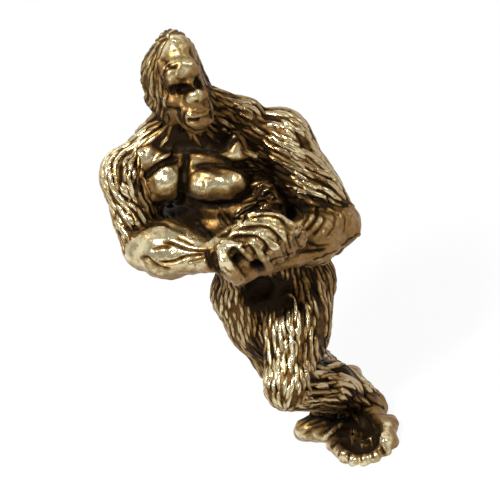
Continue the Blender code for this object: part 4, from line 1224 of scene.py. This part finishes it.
def brass_material(name, colours, low, high, warmth):
    """Polished brass that darkens into its patina wherever the surface lies deep, with painted
    shade in sheltered places and the key lamp's light and shadow painted in.
    """
    material = bpy.data.materials.get(name)
    if material:
        return material
    material = bpy.data.materials.new(name)
    material.use_nodes = True
    tree = Tree(material.node_tree)
    place = tree.node("ShaderNodeTexCoord", output="Object")
    patina, umber, ochre, tarnish_and_shade, gold = [(*colour, 1) for colour in (
        colours.patina, colours.umber, colours.ochre, colours.tarnish_and_shade, colours.gold)]

    def noise(scale, detail=2.0):
        return tree.node("ShaderNodeTexNoise", {},
                         {"Vector": place, "Scale": scale / MM, "Detail": detail})

    height, shelter, key_light = [
        tree.node("ShaderNodeAttribute", {"attribute_name": key}, output="Fac")
        for key in ("height", "shelter", "polish_and_painted_light")]
    clouds, grain, fine = noise(CLOUD_SCALE), noise(GRAIN_SCALE), noise(FINE_SCALE, 1.0)
    level = (height * HEIGHT_WEIGHT + (shelter - OPEN_MIDDLE) * OPEN_WEIGHT
             + (key_light - KEY_LIGHT_MIDDLE) * KEY_LIGHT_WEIGHT
             + (clouds - 0.5) * CLOUD_WEIGHT + (grain - 0.5) * GRAIN_WEIGHT)
    # brown to ochre by the level: partly the polish of the high spots, partly painted shade and
    # light
    polish_and_painted_light = level.step(low, high)
    # gold on the high spots: their polish, and a painted highlight where the key lamp's light
    # reaches
    shine = (level + (fine - 0.5) * 0.05).step(high * SHINE_LOW, high + SHINE_HIGH)
    brown = level.step(low - BROWN_LOW, low + BROWN_HIGH)
    colour = tree.mix(brown, patina, umber)
    colour = tree.mix(polish_and_painted_light, colour, ochre)
    colour = tree.mix(shine, colour, gold)
    # warm brown in random tarnish patches, and as painted shade where the key lamp's light does
    # not reach
    warm = (0.8 - key_light + (clouds - 0.5) * 1.2).step(-0.06, 0.26) * warmth
    colour = tree.mix(warm * polish_and_painted_light, colour, tarnish_and_shade)
    pits = tree.node("ShaderNodeTexVoronoi", {}, {"Vector": place, "Scale": PIT_SCALE / MM})
    pit = (1 - (pits + (fine - 0.5) * 0.2).step(0.08, 0.26)) * noise(PATCH_SCALE).step(0.5, 0.6)
    colour = tree.mix(pit * polish_and_painted_light * 0.8, colour, umber)
    bump = tree.node("ShaderNodeBump", {}, {"Strength": 0.5, "Distance": RELIEF * MM,
                                            "Height": grain * 0.5 + fine * 0.35 - pit * 0.8})
    shader = tree.node("ShaderNodeBsdfPrincipled", {}, {
        "Base Color": colour,
        "Metallic": 0.4 + brown * 0.6,
        "Roughness": 0.52 - shine * 0.24 - polish_and_painted_light * 0.08 + (grain - 0.5) * 0.12,
        "Specular IOR Level": 0.08,
        "Normal": bump})
    tree.node("ShaderNodeOutputMaterial", {}, {"Surface": shader})
    return material


STRAND_SCATTER = (0.55, 1.35)   # of a strand's length, against the mean
STRAND_POINTS, STRAND_SIDES = 7, 6
DENSEST = 6e6                   # strands to a square metre, before the spacing thins them
WAVE_SCALE = 0.55               # of the bends, per millimetre
TIP, FULLNESS = 0.15, 0.6       # a strand's width at its tips, and how soon it swells


def fur_tree(material):
    """Raised strands that follow the lie of the fur, bent and pressed onto the skin."""
    group = bpy.data.node_groups.new("fur strands", "GeometryNodeTree")
    for name, kind, default in (("Skin", "NodeSocketGeometry", None),
                                ("Length", "NodeSocketFloat", 1.0),
                                ("Thickness", "NodeSocketFloat", 0.2),
                                ("Spacing", "NodeSocketFloat", 0.5),
                                ("Sink", "NodeSocketFloat", 0.1),
                                ("Bend", "NodeSocketFloat", 0.3),
                                ("Seed", "NodeSocketInt", 0)):
        socket = group.interface.new_socket(name, in_out="INPUT", socket_type=kind)
        if default is not None:
            socket.default_value = default
    group.interface.new_socket("Strands", in_out="OUTPUT", socket_type="NodeSocketGeometry")
    tree = Tree(group)
    inputs = tree.node("NodeGroupInput")

    def given(name):
        return tree.other(inputs, name)

    def stored(name, kind="FLOAT"):
        return tree.node("GeometryNodeInputNamedAttribute", {"data_type": kind}, {"Name": name})

    def vector(operation, values, output=0):
        return tree.node("ShaderNodeVectorMath", {"operation": operation}, values, output)

    skin, place, strand = given("Skin"), tree.node("GeometryNodeInputPosition"), stored("strand")
    points = tree.node("GeometryNodeDistributePointsOnFaces", {"distribute_method": "POISSON"}, {
        "Mesh": skin, "Distance Min": given("Spacing"), "Density Max": DENSEST,
        "Density Factor": stored("fur"), "Seed": given("Seed")})
    turn = tree.node("FunctionNodeAlignRotationToVector", {"axis": "X"},
                     {"Vector": stored("flow", "FLOAT_VECTOR")})
    turn = tree.node("FunctionNodeAlignRotationToVector", {"axis": "Z", "pivot_axis": "X"},
                     {"Rotation": turn, "Vector": tree.other(points, "Normal")})
    line = tree.node("GeometryNodeCurvePrimitiveLine", {},
                     {"Start": (-0.5, 0, 0), "End": (0.5, 0, 0)})
    line = tree.node("GeometryNodeResampleCurve", {}, {"Curve": line, "Count": STRAND_POINTS})
    scatter = tree.node("FunctionNodeRandomValue", {"data_type": "FLOAT"}, {
        2: STRAND_SCATTER[0], 3: STRAND_SCATTER[1], "Seed": given("Seed")}, output=1)
    size = scatter * given("Length") * strand
    scale = tree.node("ShaderNodeCombineXYZ", {}, {0: size, 1: size, 2: size})
    strands = tree.node("GeometryNodeInstanceOnPoints", {}, {
        "Points": points, "Instance": line, "Rotation": turn, "Scale": scale})
    strands = tree.node("GeometryNodeRealizeInstances", {}, {"Geometry": strands})
    waves = tree.node("ShaderNodeTexNoise", {}, {"Vector": place, "Scale": WAVE_SCALE / MM},
                      output="Color")
    waves = vector("SUBTRACT", {0: waves, 1: (0.5, 0.5, 0.5)})
    waves = vector("SCALE", {0: waves, "Scale": given("Bend")})
    strands = tree.node("GeometryNodeSetPosition", {}, {"Geometry": strands, "Offset": waves})
    # the nearest place of the skin and the way it faces, read for the lines and later the mesh
    seat = tree.node("GeometryNodeProximity", {"target_element": "FACES"},
                     {"Geometry": skin, "Sample Position": place})
    facing = tree.node("GeometryNodeSampleNearestSurface", {"data_type": "FLOAT_VECTOR"}, {
        "Mesh": skin, "Value": tree.node("GeometryNodeInputNormal"), "Sample Position": place})
    inward = vector("SCALE", {0: facing, "Scale": given("Sink") * -1.0})
    strands = tree.node("GeometryNodeSetPosition", {}, {
        "Geometry": strands, "Position": vector("ADD", {0: seat, 1: inward})})
    share = tree.node("GeometryNodeSplineParameter")
    swell = (share * (1 - share) * 4.0) ** FULLNESS * (1 - TIP) + TIP
    profile = tree.node("GeometryNodeCurvePrimitiveCircle", {},
                        {"Resolution": STRAND_SIDES, "Radius": 1.0})
    strands = tree.node("GeometryNodeCurveToMesh", {}, {
        "Curve": strands, "Profile Curve": profile, "Fill Caps": True,
        "Scale": swell * strand * given("Thickness")})
    rise = vector("DOT_PRODUCT", {0: vector("SUBTRACT", {0: place, 1: seat}), 1: facing},
                  output="Value")
    strands = tree.node("GeometryNodeStoreNamedAttribute", {"data_type": "FLOAT"}, {
        "Geometry": strands, "Name": "height", "Value": rise / MM - FUR_VALLEY})
    strands = tree.node("GeometryNodeSetShadeSmooth", {}, {"Geometry": strands})
    strands = tree.node("GeometryNodeRealizeInstances", {}, {"Geometry": strands})
    strands = tree.node("GeometryNodeSetMaterial", {}, {"Geometry": strands, "Material": material})
    tree.node("NodeGroupOutput", {}, {"Strands": strands})
    return group


class StatueSizes(bpy.types.PropertyGroup):
    """What a user would change in the shape of the surface."""
    strand_length: FloatProperty(
        name="Strand length", description="Mean length of a strand of fur",
        default=2.3 * MM, min=0.2 * MM, unit="LENGTH")
    strand_radius: FloatProperty(
        name="Strand radius", description="Half the width of a strand",
        default=0.26 * MM, min=0.02 * MM, unit="LENGTH")
    strand_spacing: FloatProperty(
        name="Strand spacing", description="Least distance between strands",
        default=0.62 * MM, min=0.1 * MM, unit="LENGTH")
    strand_sink: FloatProperty(
        name="Strand sink", description="How deep a strand sits in the skin",
        default=0.06 * MM, unit="LENGTH")
    strand_bend: FloatProperty(
        name="Strand bend", description="How far a strand strays sideways",
        default=0.9 * MM, unit="LENGTH")
    strand_seed: IntProperty(
        name="Seed", description="Another seed gives other strands", default=7)


class StatueColours(bpy.types.PropertyGroup):
    """The tones of the antiqued metal and of the studio."""
    patina: FloatVectorProperty(name="Patina", description="Blackened metal in the recesses",
                                subtype="COLOR", size=3, default=(0.014, 0.007, 0.002))
    umber: FloatVectorProperty(name="Umber", description="Brown edge of the patina",
                               subtype="COLOR", size=3, default=(0.145, 0.073, 0.020))
    ochre: FloatVectorProperty(name="Ochre", description="Dull gold between recess and high spot",
                               subtype="COLOR", size=3, default=(0.31, 0.205, 0.078))
    # a warm brown for random tarnish patches and for painted shade on the side away from the key
    # lamp
    tarnish_and_shade: FloatVectorProperty(name="Rust", description="Warm brown tarnish in patches and below",
                              subtype="COLOR", size=3, default=(0.22, 0.115, 0.036))
    gold: FloatVectorProperty(name="Gold", description="Polished metal on the high spots",
                              subtype="COLOR", size=3, default=(0.78, 0.67, 0.41))
    floor: FloatVectorProperty(name="Floor", description="Pale studio floor",
                               subtype="COLOR", size=3, default=(0.90, 0.90, 0.90))


COATS = {
    "body": ("head", "torso"),
    "arms": ("right_upper_arm", "left_upper_arm", "left_forearm"),
    "legs": ("hips", "right_thigh", "left_thigh", "right_shin", "left_shin", "right_foot",
             "left_foot"),
}


def finished(piece, *nodes):
    """Let a piece ride on the root body and stand for its nodes."""
    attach(piece, "root")
    if nodes:
        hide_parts(*nodes)


def cast_sections(context, names):
    """Cast the named sections, each as one closed piece."""
    material = brass_material("carved brass", context.scene.statue_colours, *CARVED)
    for name in names:
        mesh = figure().piece(name)
        mesh.materials.append(material)
        piece = bpy.data.objects.new("cast_" + name, mesh)
        context.scene.collection.objects.link(piece)
        finished(piece, name)


class STATUE_OT_head(bpy.types.Operator):
    """Cast the head with its brow, muzzle and cape of hair"""
    bl_idname = "statue.head"
    bl_label = "Head"

    def execute(self, context):
        cast_sections(context, ["head"])
        return {"FINISHED"}


class STATUE_OT_trunk(bpy.types.Operator):
    """Cast the torso and the hips"""
    bl_idname = "statue.trunk"
    bl_label = "Trunk"

    def execute(self, context):
        cast_sections(context, ["torso", "hips"])
        return {"FINISHED"}


class STATUE_OT_arms(bpy.types.Operator):
    """Cast the folded arms and the two hands"""
    bl_idname = "statue.arms"
    bl_label = "Arms"

    def execute(self, context):
        cast_sections(context, [name for name in SECTIONS if name.endswith(("arm", "hand"))])
        return {"FINISHED"}


class STATUE_OT_legs(bpy.types.Operator):
    """Cast the crossed legs and the grasping feet"""
    bl_idname = "statue.legs"
    bl_label = "Legs"

    def execute(self, context):
        ends = ("thigh", "shin", "foot")
        cast_sections(context, [name for name in SECTIONS if name.endswith(ends)])
        return {"FINISHED"}


class STATUE_OT_fur(bpy.types.Operator):
    """Lay raised strands of fur over the sections that carry it"""
    bl_idname = "statue.fur"
    bl_label = "Fur"

    def execute(self, context):
        sizes = context.scene.statue_sizes
        material = brass_material("fur brass", context.scene.statue_colours, *COMBED)
        group = fur_tree(material)
        values = {"Length": sizes.strand_length, "Thickness": sizes.strand_radius,
                  "Spacing": sizes.strand_spacing, "Sink": sizes.strand_sink,
                  "Bend": sizes.strand_bend}
        sockets = {item.name: item.identifier for item in group.interface.items_tree
                   if item.in_out == "INPUT"}
        for number, (name, names) in enumerate(COATS.items()):
            piece = bpy.data.objects.new("fur_" + name, figure().coat(name, names))
            context.scene.collection.objects.link(piece)
            modifier = piece.modifiers.new("strands", "NODES")
            modifier.node_group = group
            for key, value in values.items():
                modifier[sockets[key]] = value
            modifier[sockets["Seed"]] = sizes.strand_seed + number
            context.view_layer.update()
            graph = context.evaluated_depsgraph_get()
            mesh = bpy.data.meshes.new_from_object(piece.evaluated_get(graph))
            piece.modifiers.remove(modifier)
            piece.data = mesh
            places = np.empty(len(mesh.vertices) * 3, np.float32)
            mesh.vertices.foreach_get("co", places)
            places = inside_frame(places.reshape(-1, 3) / MM) * MM
            mesh.vertices.foreach_set("co", places.ravel())
            mesh.update()
            finished(piece)
        return {"FINISHED"}


WHITE = (1, 1, 1, 1)
FLOOR_SIZE = 4.0        # metres
FLOOR_GLOW = 0.92       # share of the camera's view of the floor that is plain white
DIM = 0.35              # the surroundings' light on the figure
HORIZON = (-0.3, 0.5)   # the metal mirrors white from here on back, and dim surroundings ahead
SENSOR_WIDTH, NEAREST = 36, 0.1     # of the camera, in millimetres and metres
LAMPS = (   # name, azimuth and height in degrees, distance and size in metres, watts
    ("key", -28, 52, 0.45, 0.10, 2.6),
    ("fill", 62, 30, 0.50, 0.22, 0.5),
    ("back", 190, 40, 0.55, 0.25, 0.6),
)


class STATUE_OT_stage(bpy.types.Operator):
    """Set the pale floor, the white surroundings, the lamps and the camera"""
    bl_idname = "statue.stage"
    bl_label = "Stage"

    def execute(self, context):
        scene = context.scene
        self.floor(scene)
        self.surroundings(scene)
        for lamp in LAMPS:
            self.lamp(scene, *lamp)
        self.camera(scene)
        scene.view_settings.view_transform = "Standard"
        return {"FINISHED"}

    def floor(self, scene):
        mesh = bpy.data.meshes.new("floor")
        half = FLOOR_SIZE / 2
        mesh.from_pydata([(-half, -half, 0), (half, -half, 0), (half, half, 0), (-half, half, 0)],
                         [], [(0, 1, 2, 3)])
        floor = bpy.data.objects.new("floor", mesh)
        scene.collection.objects.link(floor)
        material = bpy.data.materials.new("floor")
        material.use_nodes = True
        tree = Tree(material.node_tree)
        colour = (*scene.statue_colours.floor, 1)
        diffuse = tree.node("ShaderNodeBsdfDiffuse", {}, {"Color": colour})
        glow = tree.node("ShaderNodeEmission", {}, {"Color": WHITE, "Strength": 1.0})
        shader = tree.node("ShaderNodeMixShader", {},
                           {0: shown(tree) * FLOOR_GLOW, 1: diffuse, 2: glow})
        tree.node("ShaderNodeOutputMaterial", {}, {"Surface": shader})
        mesh.materials.append(material)
        floor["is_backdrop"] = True

    def surroundings(self, scene):
        world = bpy.data.worlds.new("studio")
        scene.world = world
        world.use_nodes = True
        tree = Tree(world.node_tree)
        dim, white = [tree.node("ShaderNodeBackground", {}, {"Color": WHITE, "Strength": strength})
                      for strength in (DIM, 1.0)]
        way = tree.node("ShaderNodeTexCoord", output="Generated")
        backdrop = tree.node("ShaderNodeSeparateXYZ", {}, {0: way}, output="Y").step(*HORIZON)
        shader = tree.node("ShaderNodeMixShader", {}, {0: shown(tree, backdrop), 1: dim, 2: white})
        tree.node("ShaderNodeOutputWorld", {}, {"Surface": shader})

    def lamp(self, scene, name, azimuth, height, distance, size, power):
        data = bpy.data.lights.new(name, "AREA")
        data.size, data.energy = size, power
        lamp = bpy.data.objects.new(name, data)
        turn, rise = math.radians(azimuth), math.radians(height)
        out = Vector((math.sin(turn) * math.cos(rise), -math.cos(turn) * math.cos(rise),
                      math.sin(rise)))
        lamp.matrix_world = looking_back(Vector(TARGET) * MM + out * distance, out)
        scene.collection.objects.link(lamp)

    def camera(self, scene):
        data = bpy.data.cameras.new("camera")
        data.sensor_width = SENSOR_WIDTH
        data.lens = data.sensor_width * CAMERA_DISTANCE / PHOTO_WIDTH
        data.clip_start = NEAREST
        camera = bpy.data.objects.new("camera", data)
        camera.matrix_world = camera_matrix()
        scene.collection.objects.link(camera)
        scene.camera = camera


def shown(tree, reflected=1.0):
    """1 for what the camera sees, and the given share for what it sees in the metal."""
    path = tree.node("ShaderNodeLightPath", output="Is Camera Ray")
    mirrored = tree.other(path, "Is Glossy Ray") + tree.other(path, "Is Transmission Ray")
    return (path + mirrored * reflected).clamped()


class STATUE_PT_pieces(bpy.types.Panel):
    bl_label = "Gorilla statue"
    bl_space_type = "VIEW_3D"
    bl_region_type = "UI"
    bl_category = "Statue"

    def draw(self, context):
        for group in (context.scene.statue_sizes, context.scene.statue_colours):
            for name in group.__annotations__:
                self.layout.prop(group, name)
        for operator in OPERATORS:
            self.layout.operator(operator.bl_idname)


OPERATORS = (STATUE_OT_head, STATUE_OT_trunk, STATUE_OT_arms, STATUE_OT_legs, STATUE_OT_fur,
             STATUE_OT_stage)
CLASSES = (StatueSizes, StatueColours) + OPERATORS + (STATUE_PT_pieces,)


def register():
    for item in CLASSES:
        bpy.utils.register_class(item)
    bpy.types.Scene.statue_sizes = PointerProperty(type=StatueSizes)
    bpy.types.Scene.statue_colours = PointerProperty(type=StatueColours)


def unregister():
    del bpy.types.Scene.statue_colours, bpy.types.Scene.statue_sizes
    for item in reversed(CLASSES):
        bpy.utils.unregister_class(item)


def main():
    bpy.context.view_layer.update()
    register()
    for operator in (bpy.ops.statue.head, bpy.ops.statue.trunk, bpy.ops.statue.arms,
                     bpy.ops.statue.legs, bpy.ops.statue.fur, bpy.ops.statue.stage):
        operator()


if __name__ == "__main__":
    main()
